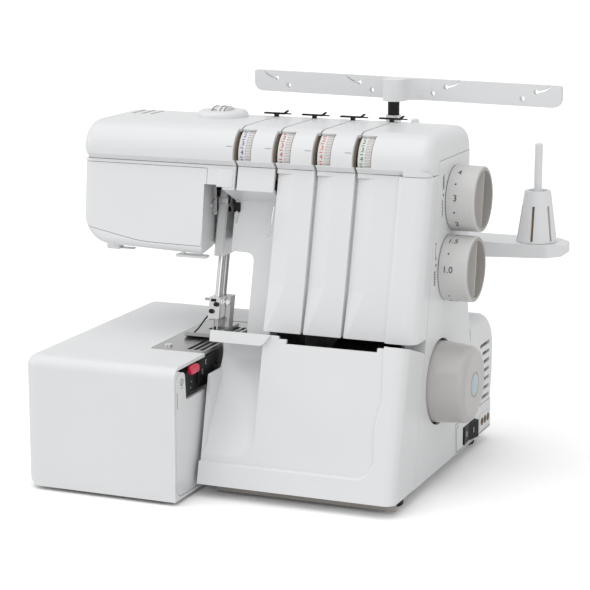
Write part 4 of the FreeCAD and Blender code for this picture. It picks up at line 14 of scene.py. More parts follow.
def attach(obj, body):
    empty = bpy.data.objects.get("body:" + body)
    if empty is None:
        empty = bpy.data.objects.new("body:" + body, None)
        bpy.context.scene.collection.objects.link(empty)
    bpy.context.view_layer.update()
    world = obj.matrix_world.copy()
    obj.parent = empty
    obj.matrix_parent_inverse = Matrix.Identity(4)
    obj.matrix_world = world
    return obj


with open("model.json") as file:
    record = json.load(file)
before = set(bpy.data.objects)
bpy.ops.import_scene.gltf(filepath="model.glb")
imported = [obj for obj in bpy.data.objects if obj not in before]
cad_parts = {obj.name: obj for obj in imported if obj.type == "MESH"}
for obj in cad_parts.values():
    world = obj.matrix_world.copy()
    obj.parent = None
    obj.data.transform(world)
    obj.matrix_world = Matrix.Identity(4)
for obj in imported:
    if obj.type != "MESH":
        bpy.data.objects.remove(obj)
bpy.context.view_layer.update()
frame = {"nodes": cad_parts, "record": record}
nodes = frame["nodes"]

# %% [markdown]
# Lengths on the real machine are easiest to read in millimetres from its right-hand side plane
# and its front foot line. `at` turns such a place into the shared frame, which is in metres.

# %% Places
MM = 0.001
ORIGIN = Vector((-106, 108, 0))


def at(x, y, z):
    """A place on the machine, in millimetres, as a point of the shared frame."""
    return (Vector((x, y, z)) - ORIGIN) * MM


print("needle point", tuple(round(c, 4) for c in at(-178, 93, 97)))

# %% [markdown]
# A finish is a small tree of nodes. It could be wired by hand, node by node, but written as sums it
# stays readable, so one class wraps an output socket: arithmetic on it adds Math nodes, and `node`
# adds any other kind.


# %% Sums of sockets
class Sock:
    """An output of a shader tree that can be used in sums."""

    def __init__(self, tree, socket):
        self.tree = tree
        self.socket = socket

    def node(self, kind, settings, inputs, output=0):
        """Adds a node: its settings first, then a value or a link for each input."""
        made = self.tree.nodes.new(kind)
        for name, value in settings.items():
            setattr(made, name, value)
        for name, value in inputs.items():
            if isinstance(value, Sock):
                self.tree.links.new(value.socket, made.inputs[name])
            else:
                made.inputs[name].default_value = value
        return Sock(self.tree, made.outputs[output])

    def math(self, operation, a, b):
        return self.node("ShaderNodeMath", {"operation": operation}, {0: a, 1: b})

    def __add__(self, other):
        return self.math("ADD", self, other)

    def __radd__(self, other):
        return self.math("ADD", other, self)

    def __sub__(self, other):
        return self.math("SUBTRACT", self, other)

    def __rsub__(self, other):
        return self.math("SUBTRACT", other, self)

    def __mul__(self, other):
        return self.math("MULTIPLY", self, other)

    def __rmul__(self, other):
        return self.math("MULTIPLY", other, self)

    def __gt__(self, other):
        return self.math("GREATER_THAN", self, other)

    def tint(self, low, high):
        """A colour that runs from low to high as this value runs from 0 to 1."""
        return self.node("ShaderNodeMix", {"data_type": "RGBA"}, {0: self, 6: low, 7: high}, 2)

    def noise(self, size, detail=2.0):
        """Cloudy noise whose patches are about size millimetres across."""
        sockets = {"Vector": self, "Scale": 1 / (size * MM), "Detail": detail}
        return self.node("ShaderNodeTexNoise", {}, sockets)

    def stretched(self, x, y, z):
        """These coordinates with each axis scaled, for grain that runs one way."""
        return self.node("ShaderNodeMapping", {}, {"Vector": self, "Scale": (x, y, z)})


def grey(level, warm=0.0):
    """A linear colour near grey, a little warmer or cooler."""
    return (level * (1 + warm), level, level * (1 - warm), 1)


print("a warm mid grey", grey(0.5, 0.02))

# %% [markdown]
# Every finish ends in one Principled shader. Colour, roughness and bump vary over the surface;
# whatever is the same all over is set on the shader itself. A finish is given as three functions of
# place, because a picture wrapped round the part would need unwrapping and would blur close up.


# %% One finish
def finish(name, colour, rough, height, depth, metallic=0.0, coat=0.0, specular=0.5):
    """Makes a material from three functions of the object's own coordinates."""
    material = bpy.data.materials.new(name)
    material.use_nodes = True
    tree = material.node_tree
    shader = tree.nodes["Principled BSDF"]
    shader.inputs["Metallic"].default_value = metallic
    shader.inputs["Coat Weight"].default_value = coat
    shader.inputs["Coat Roughness"].default_value = 0.12
    shader.inputs["Specular IOR Level"].default_value = specular
    where = Sock(tree, tree.nodes.new("ShaderNodeTexCoord").outputs["Object"])
    tree.links.new(colour(where).socket, shader.inputs["Base Color"])
    tree.links.new(rough(where).socket, shader.inputs["Roughness"])
    relief = {"Strength": 1.0, "Distance": depth * MM, "Height": height(where)}
    bump = where.node("ShaderNodeBump", {}, relief)
    tree.links.new(bump.socket, shader.inputs["Normal"])
    return material


def moulded(name, low, high, gloss=0.34, grain=0.5, depth=0.006, coat=0.0, patch=9, sheen=0.12,
            specular=0.5):
    """Moulded plastic: two close tones in soft patches, uneven gloss and a shallow grain."""
    return finish(name, lambda w: w.noise(38).tint(low, high),
                  lambda w: w.noise(patch) * sheen + (gloss - sheen / 2),
                  lambda w: w.noise(grain, 1.0), depth, coat=coat, specular=specular)


# %% [markdown]
# The covers are white ABS. It is not one white: thick ribs cool a touch darker than thin walls, and
# the tool leaves a very shallow grain. The dials are the same plastic in two warm greys. The grain on
# the covers is wide and shallow on purpose: finer than a pixel it would only look like noise.

# %% Plastics
looks = {}
looks["white_shell"] = moulded("moulded_white", grey(0.78, -0.012), grey(0.81, -0.008), gloss=0.3,
                               grain=3.0, depth=0.0012, patch=30, sheen=0.06)
looks["pale_dial"] = moulded("dial_white", grey(0.72, 0.01), grey(0.77, 0.01), gloss=0.4)
looks["grey_dial"] = moulded("dial_grey", grey(0.49, 0.03), grey(0.535, 0.025), gloss=0.2,
                             grain=1.5, depth=0.002)
looks["dark_plastic"] = moulded("black_plastic", grey(0.007), grey(0.012), gloss=0.4,
                                grain=0.7, depth=0.012, specular=0.22)
looks["red_plastic"] = moulded("red_plastic", (0.66, 0.006, 0.04, 1), (0.74, 0.01, 0.055, 1),
                               gloss=0.2, coat=0.6)
looks["pulley"] = moulded("pulley_black", grey(0.022), grey(0.035), gloss=0.45, grain=0.9, depth=0.02)
looks["rubber"] = moulded("rubber", grey(0.010), grey(0.018), gloss=0.72, grain=0.35, depth=0.03)
print("plastics", len(looks))

# %% [markdown]
# Bright parts are plated and polished; flat ones are ground, with scratches along the grinding.
# The scratches are noise stretched along one axis, which costs one node. The guide block is a satin
# plate, only partly metallic, so that it stays bright inside the shaded recess. The frame is a sand
# casting, rough where it isn't machined.


# %% Metals
def ground(name, level):
    """Ground steel with fine scratches that run from front to back."""
    def scratch(w):
        return w.stretched(1, 0.03, 1).noise(0.35, 3.0)

    return finish(name, lambda w: scratch(w).tint(grey(level * 0.86), grey(level * 1.08)),
                  lambda w: scratch(w) * 0.22 + 0.2, scratch, 0.006, metallic=1.0)


def polished(name, level):
    """Plated and polished metal with the faint cloud of handling."""
    return finish(name, lambda w: w.noise(12).tint(grey(level * 0.95), grey(level)),
                  lambda w: w.noise(5, 4.0) * 0.1 + 0.07, lambda w: w.noise(3), 0.01, metallic=1.0)


looks["satin"] = finish("satin_plate", lambda w: w.noise(9).tint(grey(0.86), grey(0.92)),
                        lambda w: w.noise(6) * 0.08 + 0.16, lambda w: w.noise(8), 0.004, metallic=0.3)
looks["steel"] = ground("ground_steel", 0.52)
looks["bright_steel"] = polished("plated_steel", 0.72)
looks["bearing_brass"] = finish("bearing_brass",
                                lambda w: w.noise(4).tint((0.50, 0.33, 0.12, 1), (0.62, 0.44, 0.18, 1)),
                                lambda w: w.noise(1.5) * 0.2 + 0.22,
                                lambda w: w.noise(0.6), 0.01, metallic=1.0)
looks["cast_frame"] = finish("cast_aluminium", lambda w: w.noise(6).tint(grey(0.36), grey(0.46)),
                             lambda w: w.noise(2) * 0.25 + 0.42,
                             lambda w: w.noise(1.2, 4.0), 0.12, metallic=0.9)
looks["motor_paint"] = finish("motor_paint", lambda w: w.noise(5).tint(grey(0.02), grey(0.035)),
                              lambda w: w.noise(1.4) * 0.2 + 0.38, lambda w: w.noise(0.9, 3.0), 0.05)
print("finishes", sorted(looks))

# %% [markdown]
# The record names a finish for each solid, so dressing the frame is one loop. Three solids look
# different from their neighbours in the same slot and are changed one by one; the two side dials get
# their own finish further on. The solids' shapes stay as they are.

# %% Dress the solids
for part in frame["record"]["subparts"]:
    solid = nodes[part["node"]]
    solid.data.materials.clear()
    solid.data.materials.append(looks[part["material_slot"]])
nodes["needle_bar_guide"].data.materials[0] = looks["satin"]
nodes["pole_rod"].data.materials[0] = looks["dark_plastic"]
nodes["power_inlet"].data.materials[0] = looks["white_shell"]

# %% [markdown]
# Small parts are made in bmesh, in millimetres on the machine, and carried into the shared frame when
# they are kept. Each one rides on the body it is fixed to, so that it moves when that body moves. An
# object could be placed by its own location instead, but a pattern on object coordinates would then
# start afresh on every piece, so the place is put into the mesh.


# %% Keeping a piece
TO_FRAME = Matrix.Scale(MM, 4) @ Matrix.Translation(-ORIGIN)
SHARP_ANGLE = math.radians(35)


def keep(bm, name, body, look):
    """Turns finished geometry into a piece on a body, smooth except across sharp edges."""
    bmesh.ops.transform(bm, matrix=TO_FRAME, verts=bm.verts)
    bmesh.ops.recalc_face_normals(bm, faces=bm.faces)
    mesh = bpy.data.meshes.new(name)
    bm.to_mesh(mesh)
    bm.free()
    mesh.shade_smooth()
    mesh.set_sharp_from_angle(angle=SHARP_ANGLE)
    mesh.materials.append(look)
    piece = bpy.data.objects.new(name, mesh)
    bpy.context.scene.collection.objects.link(piece)
    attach(piece, body)
    print(name, len(mesh.polygons), "faces on", body)


def stand(x, y, z, right, up):
    """Where flat work is set: its middle, and the ways that its width and height run."""
    right = Vector(right).normalized()
    up = Vector(up).normalized()
    turn = Matrix((right, up, right.cross(up))).transposed()
    return Matrix.Translation((x, y, z)) @ turn.to_4x4()


def take(bm, mesh, matrix):
    """Moves a mesh to its place and adds it to the work in hand."""
    mesh.transform(matrix)
    bm.from_mesh(mesh)
    bpy.data.meshes.remove(mesh)


# %% [markdown]
# Printed figures are real lettering: type set as a text curve, given a hair of thickness, made a mesh
# and then laid on the surface. Strokes are thin bars. Both sit a few hundredths proud, like ink.


# %% Print
INK = 0.06
DIGIT_SHARE = 0.7


def figure(bm, text, height, matrix):
    """Prints generic figures, centred on a place."""
    curve = bpy.data.curves.new("type", "FONT")
    curve.body = text
    curve.size = height / DIGIT_SHARE
    curve.align_x = "CENTER"
    curve.align_y = "CENTER"
    curve.extrude = INK
    curve.resolution_u = 3
    holder = bpy.data.objects.new("type", curve)
    take(bm, bpy.data.meshes.new_from_object(holder), matrix)
    bpy.data.objects.remove(holder)
    bpy.data.curves.remove(curve)


def stroke(bm, width, height, matrix, turn=0.0):
    """Prints one bar, turned in its own plane."""
    spin = Matrix.Rotation(math.radians(turn), 4, "Z")
    bmesh.ops.create_cube(bm, size=1, matrix=matrix @ spin @ Matrix.Diagonal((width, height, 2 * INK, 1)))


def on_drum(x, y, z, radius, angle):
    """A place on a drum that turns about X, an angle up from its front."""
    forward = math.cos(math.radians(angle))
    upward = math.sin(math.radians(angle))
    return stand(x, y - radius * forward, z + radius * upward, (1, 0, 0), (0, upward, forward))


def ink(name, colour):
    """Printing ink: one colour with the slight mottle of a pad print."""
    dark = tuple(c * 0.85 for c in colour)
    return finish(name, lambda w: w.noise(0.8).tint((*dark, 1), (*colour, 1)),
                  lambda w: w.noise(0.5) * 0.1 + 0.42, lambda w: w.noise(0.3), 0.004)


black_ink = ink("ink_black", (0.02, 0.02, 0.022))
print("ink stands", INK, "mm proud")

# %% [markdown]
# The four tension dials carry figures with dashes between them on their smooth left half. Each dial has
# its own ink, so that a thread can be followed by colour. Figures are set one at a time round the drum,
# because each is flat and narrow enough to sit on the curve without bending.

# %% Tension figures
DIAL_Y = 98.6
DIAL_Z = 240.6
DIAL_RADIUS = 20.5
SLOTS = [-151.5 + 31.5 * index for index in range(4)]
inks = [ink("ink_blue", (0.03, 0.10, 0.42)), ink("ink_red", (0.62, 0.02, 0.02)),
        ink("ink_orange", (0.80, 0.10, 0.03)), ink("ink_green", (0.03, 0.26, 0.09))]
for index, x in enumerate(SLOTS):
    bm = bmesh.new()
    for number in range(1, 10):
        angle = 28 - (number - 3) * 19
        figure(bm, str(number), 3.4, on_drum(x + 3.0, DIAL_Y, DIAL_Z, DIAL_RADIUS + INK, angle))
        stroke(bm, 2.4, 0.6, on_drum(x + 2.6, DIAL_Y, DIAL_Z, DIAL_RADIUS, angle - 9.5))
    keep(bm, f"tension_figures_{index + 1}", f"tension_{index + 1}", inks[index])

# %% [markdown]
# The two finger dials on the side are silver-white drums whose face, inside the rim, is darker and
# warmer. One finish does both: the distance from the dial's axis chooses the colour, which is simpler
# than cutting the solid in two.

# %% Side dial faces
STITCH = (133.0, 211.0)
FEED = (118.0, 161.0)
KNOB_RADIUS = 24.5
RIM = 0.9


def faced(name, middle):
    """Dial plastic in silver white whose face, inside the rim, is a darker warm grey."""
    centre = at(0, *middle)

    def from_axis(w):
        shift = (0, -centre.y, -centre.z)
        across = w.node("ShaderNodeMapping", {}, {"Vector": w, "Location": shift, "Scale": (0, 1, 1)})
        return across.node("ShaderNodeVectorMath", {"operation": "LENGTH"}, {0: across}, 1)

    def colour(w):
        drum = w.noise(30).tint(grey(0.62, 0.01), grey(0.67, 0.008))
        face = w.noise(12).tint(grey(0.38, 0.05), grey(0.43, 0.045))
        return (from_axis(w) > (KNOB_RADIUS - RIM) * MM).tint(face, drum)

    return finish(name, colour, lambda w: w.noise(4) * 0.14 + 0.26, lambda w: w.noise(0.5, 1.0), 0.006)


nodes["stitch_length_dial"].data.materials[0] = faced("dial_silver_stitch", STITCH)
nodes["differential_feed_dial"].data.materials[0] = faced("dial_silver_feed", FEED)
print("dial faces", STITCH, FEED)

# %% [markdown]
# Larger black figures run round the foot of each finger dial, with a dot between. Each has its own
# angle up from the front, because the steps between them are not even. A dot is a very flat cone with
# equal ends, which is simpler than setting a full stop as type.


# %% Side dial figures
def drum_figures(name, body, middle, words, dots):
    """Figures and dots round a finger dial, each with its angle up from the front."""
    bm = bmesh.new()
    for word, angle in words.items():
        figure(bm, word, 4.6, on_drum(7.5, *middle, KNOB_RADIUS + INK, angle))
    for angle in dots:
        place = on_drum(6.8, *middle, KNOB_RADIUS, angle)
        bmesh.ops.create_cone(bm, cap_ends=True, segments=16, radius1=0.7, radius2=0.7, depth=2 * INK,
                              matrix=place)
    keep(bm, name, body, black_ink)


drum_figures("stitch_figures", "stitch_dial", STITCH, {"4": 58, "3": 7.6, "2": -42.8, "1": -93},
             (32.8, -17.6, -68))
drum_figures("feed_figures", "feed_dial", FEED, {"2.0": 118.5, "1.5": 62.5, "1.0": 6.5, "0.7": -74},
             (90, 35, -47))

# %% [markdown]
# Beside the dials small printed pictures show stitch length and feed. At this size they read as groups
# of strokes, so strokes are what they are made of: leaning bars for the stitches, a line with two barbs
# and a short ladder for the feed.

# %% Side pictures
SIDE_X = 0.0


def on_side(y, z):
    """A place on the right-hand side, read with the front to the left."""
    return stand(SIDE_X + INK / 2, y, z, (0, 1, 0), (0, 0, 1))


bm = bmesh.new()
stitch_y = STITCH[0] - KNOB_RADIUS - 6
feed_y = FEED[0] - KNOB_RADIUS - 6
for y, z in ((stitch_y + 2, STITCH[1] + 6), (feed_y + 2, FEED[1] + 6.5)):
    stroke(bm, 1.8, 1.8, on_side(y, z))
for step in range(6):
    stroke(bm, 3.4, 0.7, on_side(stitch_y + 2, STITCH[1] + 11 + 1.7 * step), 35)
    stroke(bm, 0.6, 1.7, on_side(stitch_y + 3.4, STITCH[1] + 11.8 + 1.7 * step))
for step in range(5):
    stroke(bm, 3.0, 0.5, on_side(stitch_y, STITCH[1] - 9 + 2.4 * step), 35)
    stroke(bm, 3.0, 0.5, on_side(stitch_y, STITCH[1] - 7.8 + 2.4 * step), -35)
stroke(bm, 0.5, 12, on_side(feed_y + 1, FEED[1] + 17))
stroke(bm, 3.0, 0.5, on_side(feed_y + 2, FEED[1] + 22.4), -45)
stroke(bm, 3.0, 0.5, on_side(feed_y + 2, FEED[1] + 11.4), 45)
for step in range(6):
    stroke(bm, 3.2, 0.7, on_side(feed_y, FEED[1] - 7.6 + 1.9 * step))
stroke(bm, 0.6, 10.4, on_side(feed_y - 1.6, FEED[1] - 2.8))
keep(bm, "side_pictures", "machine", black_ink)

# %% [markdown]
# The handwheel's middle is a bare pressed cap, slightly domed, in pale blue-grey plastic. A squashed
# sphere would have no rim, so the cap is turned: a half profile is spun once round its axis.


# %% Handwheel cap
def turned(bm, profile, matrix, steps=48):
    """A part turned from (radius, height) points about the third axis of a matrix."""
    work = bmesh.new()
    points = [work.verts.new((radius, 0, height)) for radius, height in profile]
    lines = [work.edges.new(pair) for pair in zip(points, points[1:])]
    bmesh.ops.spin(work, geom=points + lines, axis=(0, 0, 1), cent=(0, 0, 0), angle=2 * math.pi,
                   steps=steps, use_merge=True)
    bmesh.ops.remove_doubles(work, verts=work.verts, dist=1e-4)
    mesh = bpy.data.meshes.new("turned")
    work.to_mesh(mesh)
    work.free()
    take(bm, mesh, matrix)


SHAFT = (103.0, 77.5)
WHEEL_FACE = 27.0
looks["cap"] = moulded("cap_blue_grey", (0.40, 0.52, 0.58, 1), (0.45, 0.57, 0.63, 1),
                       gloss=0.28, coat=0.3)
bm = bmesh.new()
face = stand(WHEEL_FACE, *SHAFT, (0, 1, 0), (0, 0, 1))
turned(bm, [(0, 0.5), (3, 0.46), (6, 0.33), (7.4, 0.18), (7.9, -0.05), (8.0, -0.4), (0, -0.4)], face)
keep(bm, "wheel_cap", "drive_line", looks["cap"])

# %% [markdown]
# The rocker switch is marked with a ring for off and a bar for on. Its two halves slope, so each mark is
# laid along its own half instead of on one flat plane, where it would sink in or float.

# %% Switch marks
SWITCH_Y = 176.0
SWITCH_Z = 19.6
white_ink = ink("ink_white", (0.75, 0.75, 0.74))
SWITCH_HALF = 14.0
PLATE_STEP = 0.8
dip = math.tan(math.radians(7)) * SWITCH_HALF
mark = SWITCH_HALF / 2
bm = bmesh.new()
off = stand(PLATE_STEP + dip / 4 + INK, SWITCH_Y - mark, SWITCH_Z, (-dip / 2, SWITCH_HALF, 0), (0, 0, 1))
turned(bm, [(1.5, -INK), (2.1, -INK), (2.1, INK), (1.5, INK), (1.5, -INK)], off, 24)
on = stand(PLATE_STEP + dip + INK, SWITCH_Y + mark, SWITCH_Z, (2 * dip, SWITCH_HALF, 0), (0, 0, 1))
stroke(bm, 0.6, 4.2, on)
keep(bm, "switch_marks", "switch", white_ink)

# %% [markdown]
# The inlet has three round wells, each lined in brown resin with a pin standing in it. Liner and pin are
# both turned: the profile gives the thin wall, the lead-in at its mouth and the pin's rounded end.

# %% Inlet wells
looks["resin"] = moulded("inlet_resin", (0.27, 0.20, 0.13, 1), (0.34, 0.26, 0.18, 1), gloss=0.4)
bm = bmesh.new()
pins = bmesh.new()
for y in (209, 217, 225):
    well = stand(1.2, y, SWITCH_Z, (0, 1, 0), (0, 0, 1))
    turned(bm, [(3.2, 0.25), (3.2, -6), (2.5, -6), (2.5, -0.2), (2.9, 0.25), (3.2, 0.25)], well, 32)
    turned(pins, [(0, -1.2), (0.7, -1.4), (1.0, -2.0), (1.0, -7.5), (0, -7.5)], well, 20)
keep(bm, "inlet_liners", "machine", looks["resin"])
keep(pins, "inlet_pins", "machine", looks["bright_steel"])

# %% [markdown]
# On the lid a short tick beside every thread slot points at the dial, and a thin brown ring paints the
# shadow in the gap at each dial window's right edge. The lid is round there, so ticks are laid as on a
# drum, and the painted shadow is a turned ring cut off level with the window's foot. The pressure dial has
# figures and bars along its rim.

# %% Lid ticks and pressure figures
grey_ink = ink("ink_grey", (0.48, 0.48, 0.49))
LID_ROUND = (96.5, 240.0)
bm = bmesh.new()
for x in SLOTS:
    stroke(bm, 5.0, 0.7, on_drum(x - 6.6, *LID_ROUND, 22, 22))
keep(bm, "lid_ticks", "machine", grey_ink)

# A brown that paints the shadow in narrow gaps: at the dial windows and round the power plate.
looks["brown"] = moulded("painted_gap_shadow", (0.09, 0.055, 0.035, 1), (0.13, 0.085, 0.055, 1), gloss=0.55)
bm = bmesh.new()
# Each ring paints the shadow in the gap at a dial window's right edge.
for x in SLOTS:
    turned(bm, [(19.6, 0), (21.9, 0), (21.9, 0.3), (19.6, 0.3), (19.6, 0)],
           stand(x + 11.25, *LID_ROUND, (0, 1, 0), (0, 0, 1)), 72)
WINDOW_FOOT = 238.6
cut = bmesh.ops.bisect_plane(bm, geom=bm.verts[:] + bm.edges[:] + bm.faces[:],
                             plane_co=(0, 0, WINDOW_FOOT), plane_no=(0, 0, 1), clear_inner=True)
ends = [item for item in cut["geom_cut"] if isinstance(item, bmesh.types.BMEdge)]
bmesh.ops.holes_fill(bm, edges=ends)
keep(bm, "window_edge_shadow", "machine", looks["brown"])

PRESSURE_X = -192.0
PRESSURE_AXIS = (141.0, 254.0)
PRESSURE_RADIUS = 16
bm = bmesh.new()
for number in range(1, 6):
    angle = 38 + number * 24
    figure(bm, str(number), 5.0, on_drum(PRESSURE_X + 1.6, *PRESSURE_AXIS, PRESSURE_RADIUS, angle))
    stroke(bm, 3.0, 0.9, on_drum(PRESSURE_X - 3.0, *PRESSURE_AXIS, PRESSURE_RADIUS, angle - 4))
for step in range(40):
    for side in (-5.1, 5.1):
        stroke(bm, 0.8, 2.6, on_drum(PRESSURE_X + side, *PRESSURE_AXIS, PRESSURE_RADIUS, step * 9))
keep(bm, "pressure_figures", "pressure", black_ink)

# %% [markdown]
# The needle area is the machine's jewellery, and it needs two tools. Wire could be swept by hand, but a
# curve with a round bevel bends it in one go and is then made a mesh. A rounded block is a cube with
# its edges bevelled.


# %% Bent wire
def wire(bm, points, radius):
    """Adds a round wire bent smoothly through places in millimetres."""
    curve = bpy.data.curves.new("wire", "CURVE")
    curve.dimensions = "3D"
    curve.bevel_depth = radius
    curve.bevel_resolution = 3
    curve.use_fill_caps = True
    curve.resolution_u = 8
    spline = curve.splines.new("NURBS")
    spline.points.add(len(points) - 1)
    for point, place in zip(spline.points, points):
        point.co = (*place, 1)
    spline.order_u = 3
    spline.use_endpoint_u = True
    holder = bpy.data.objects.new("wire", curve)
    take(bm, bpy.data.meshes.new_from_object(holder), Matrix.Identity(4))
    bpy.data.objects.remove(holder)
    bpy.data.curves.remove(curve)


def block(bm, low, high, round_by):
    """Adds a block between two corners with all its edges rounded."""
    size = Vector(high) - Vector(low)
    middle = (Vector(high) + Vector(low)) / 2
    work = bmesh.new()
    bmesh.ops.create_cube(work, size=1, matrix=Matrix.Diagonal((*size, 1)))
    bmesh.ops.bevel(work, geom=work.edges[:], offset=round_by, segments=3, profile=0.5,
                    affect="EDGES", material=-1)
    mesh = bpy.data.meshes.new("block")
    work.to_mesh(mesh)
    work.free()
    take(bm, mesh, Matrix.Translation(middle))


# %% [markdown]
# The guide block ends in a bright face and a white cap. Two thin white plates trim the recess, one above
# its mouth and one at its back. The needle bar leans back and most things round it lean too, so blocks
# are made upright and then sheared by the bar's slope, which keeps their tops and bottoms level.

# %% Guide block's head
LEAN = 0.244


def bar_y(z):
    """Depth of the needle bar's axis at a height."""
    return 93 + LEAN * (z - 107)


def leaning(z):
    """Makes upright work lean with the needle bar, from the bar's axis at a height."""
    slope = Matrix.Identity(4)
    slope[1][2] = LEAN
    return Matrix.Translation((0, bar_y(z), z)) @ slope


def leaning_block(bm, low, high, z, round_by):
    """A rounded block measured from the needle bar's axis at a height, leaning with it."""
    work = bmesh.new()
    block(work, low, high, round_by)
    mesh = bpy.data.meshes.new("leaning")
    work.to_mesh(mesh)
    work.free()
    take(bm, mesh, leaning(z))


BAR_X = -178.0
bm = bmesh.new()
leaning_block(bm, (BAR_X - 4, -7, 0.1), (BAR_X + 4, -5.6, 5), 199, 0.5)
keep(bm, "guide_face", "machine", looks["satin"])
bm = bmesh.new()
leaning_block(bm, (BAR_X - 2.6, -7.3, 0), (BAR_X + 3.2, -5.6, 8), 204.1, 0.6)
leaning_block(bm, (-168, -46.1, 0), (-155, -45.0, 13.6), 217.6, 0.5)
block(bm, (-189, 106.4, 190.5), (-182.3, 107.4, 217.6), 0.3)
keep(bm, "guide_cap", "machine", looks["white_shell"])

# %% [markdown]
# A loop of wire keeps the threads to the left, a second wire comes down from a black clip on the right,
# and a hook stands out beside the first rib. Five places each are enough for such bends.

# %% Thread wires
bm = bmesh.new()
wire(bm, [(-181.5, 107, 203.5), (-182.0, 100, 203.8), (-182.0, 95.5, 200),
          (-181.8, 97, 195), (-181.5, 105, 193.5)], 0.45)
wire(bm, [(-160.6, 97, 197.5), (-160.4, 94.6, 195), (-160.6, 95, 187),
          (-165, 100, 179), (-174, 114, 176)], 0.55)
wire(bm, [(-119.4, 70, 206), (-119.6, 66.6, 199), (-119.7, 65.6, 190),
          (-121, 65.4, 184.8), (-126, 66, 184.2)], 0.5)
keep(bm, "thread_wires", "machine", looks["bright_steel"])
bm = bmesh.new()
block(bm, (-163.6, 95.6, 195.5), (-158.4, 98.6, 202.8), 0.7)
turned(bm, [(0, 1.1), (1.3, 1.0), (2.0, 0.5), (2.2, 0), (2.2, -0.6), (0, -0.6)],
       stand(-174, 112, 194.5, (0, 1, 0), (0, 0, 1)), 28)
keep(bm, "guide_clip", "machine", looks["dark_plastic"])

# %% [markdown]
# Under the arm a finger plate hangs on two short studs. Further left is the thread cutter: a white holder
# with a thin blade. Plate, holder and blade are rounded blocks, because moulded and stamped edges are
# never sharp; the studs are turned.

# %% Under the arm
bm = bmesh.new()
block(bm, (-203, 76, 161.6), (-178, 84, 163.8), 0.7)
for x in (-198, -185):
    turned(bm, [(0, 0), (1.5, 0), (1.5, 3.6), (0, 3.6)], stand(x, 80, 163.5, (1, 0, 0), (0, 1, 0)), 20)
keep(bm, "finger_plate", "machine", looks["satin"])
bm = bmesh.new()
block(bm, (-269.2, 91, 160.8), (-258.2, 99, 173.5), 1.0)
keep(bm, "cutter_holder", "machine", looks["white_shell"])
bm = bmesh.new()
block(bm, (-258.8, 93, 161.3), (-247.0, 97, 162.4), 0.2)
keep(bm, "cutter_blade", "machine", looks["steel"])

# %% [markdown]
# A slotted screw holds the foot's shank. Its slot could be cut with a boolean, but it is cleaner to cut
# the disc in three strips and raise only the outer two.


# %% Slotted screw
def slotted(bm, matrix, radius, height, width):
    """A screw head with a slot: a disc cut in three strips, the outer two raised."""
    work = bmesh.new()
    bmesh.ops.create_circle(work, cap_ends=True, segments=32, radius=radius)
    for side in (-1, 1):
        everything = work.verts[:] + work.edges[:] + work.faces[:]
        bmesh.ops.bisect_plane(work, geom=everything, plane_co=(side * width / 2, 0, 0),
                               plane_no=(1, 0, 0))
    raised = bmesh.ops.extrude_face_region(work, geom=work.faces[:])
    tops = [item for item in raised["geom"] if isinstance(item, bmesh.types.BMFace)]
    bmesh.ops.translate(work, verts=[v for v in raised["geom"] if isinstance(v, bmesh.types.BMVert)],
                        vec=(0, 0, height / 2))
    outer = [face for face in tops if abs(face.calc_center_median().x) > width / 2]
    lips = bmesh.ops.extrude_face_region(work, geom=outer)
    bmesh.ops.translate(work, verts=[v for v in lips["geom"] if isinstance(v, bmesh.types.BMVert)],
                        vec=(0, 0, height / 2))
    mesh = bpy.data.meshes.new("screw")
    work.to_mesh(mesh)
    work.free()
    take(bm, mesh, matrix)


# %% [markdown]
# The needle clamp has two dark set screws and a dark window, and a steel peg on its left. They ride with
# the needle bar. The shank's screw and the black wire that keeps fingers away ride with the presser
# foot, and the wire passes clear to the left of the clamp.

# %% Clamp and foot fittings
front = (0, LEAN, 1)
bm = bmesh.new()
for x, z in ((-179.7, 118.33), (-176.3, 123.67)):
    turned(bm, [(0, 2.2), (1.5, 2.2), (1.8, 1.9), (1.8, 0), (0, 0)],
           stand(x, bar_y(z) - 5.4, z, (1, 0, 0), front), 32)
leaning_block(bm, (BAR_X - 3.2, -5.75, 0), (BAR_X + 1.2, -5.2, 2.2), 125.6, 0.2)
keep(bm, "clamp_screws", "needle_group", looks["dark_plastic"])
bm = bmesh.new()
turned(bm, [(0, 6.4), (0.8, 6.2), (1.1, 5.6), (1.1, 0), (0, 0)],
       stand(-182.4, bar_y(126), 126, (0, 0, 1), (0, 1, 0)), 24)
keep(bm, "clamp_peg", "needle_group", looks["steel"])
bm = bmesh.new()
slotted(bm, stand(-171.4, bar_y(123.5) + 5.9, 123.5, (1, 0, 0), front), 1.9, 1.6, 0.7)
keep(bm, "shank_screw", "presser_group", looks["bright_steel"])
bm = bmesh.new()
wire(bm, [(-181, 103.5, 114.5), (-184.2, 102, 114.4), (-183.8, 92, 114.2), (-183.8, 84, 111.6),
          (-183.7, 74, 107.6), (-183.5, 67, 106.6)], 0.6)
keep(bm, "finger_guard", "presser_group", looks["dark_plastic"])

# %% [markdown]
# The table's end plate has a small printed picture and a beige strip in its slot. The black wall beside
# it carries a stepped plate and white marks. The strip lies deeper than the plate's face, because the
# slot is a real cut in the solid.

# %% Table end and bay marks
TABLE_X = -155.6
# Beige for the strip in the end plate's slot, and for the painted warm shade in the dial windows further
# on.
looks["beige"] = moulded("beige_insert_and_gap_shade", (0.44, 0.36, 0.27, 1), (0.5, 0.42, 0.33, 1), gloss=0.5)


def on_end(x, y, z):
    """A place on a face that looks to the right."""
    return stand(x, y, z, (0, 1, 0), (0, 0, 1))


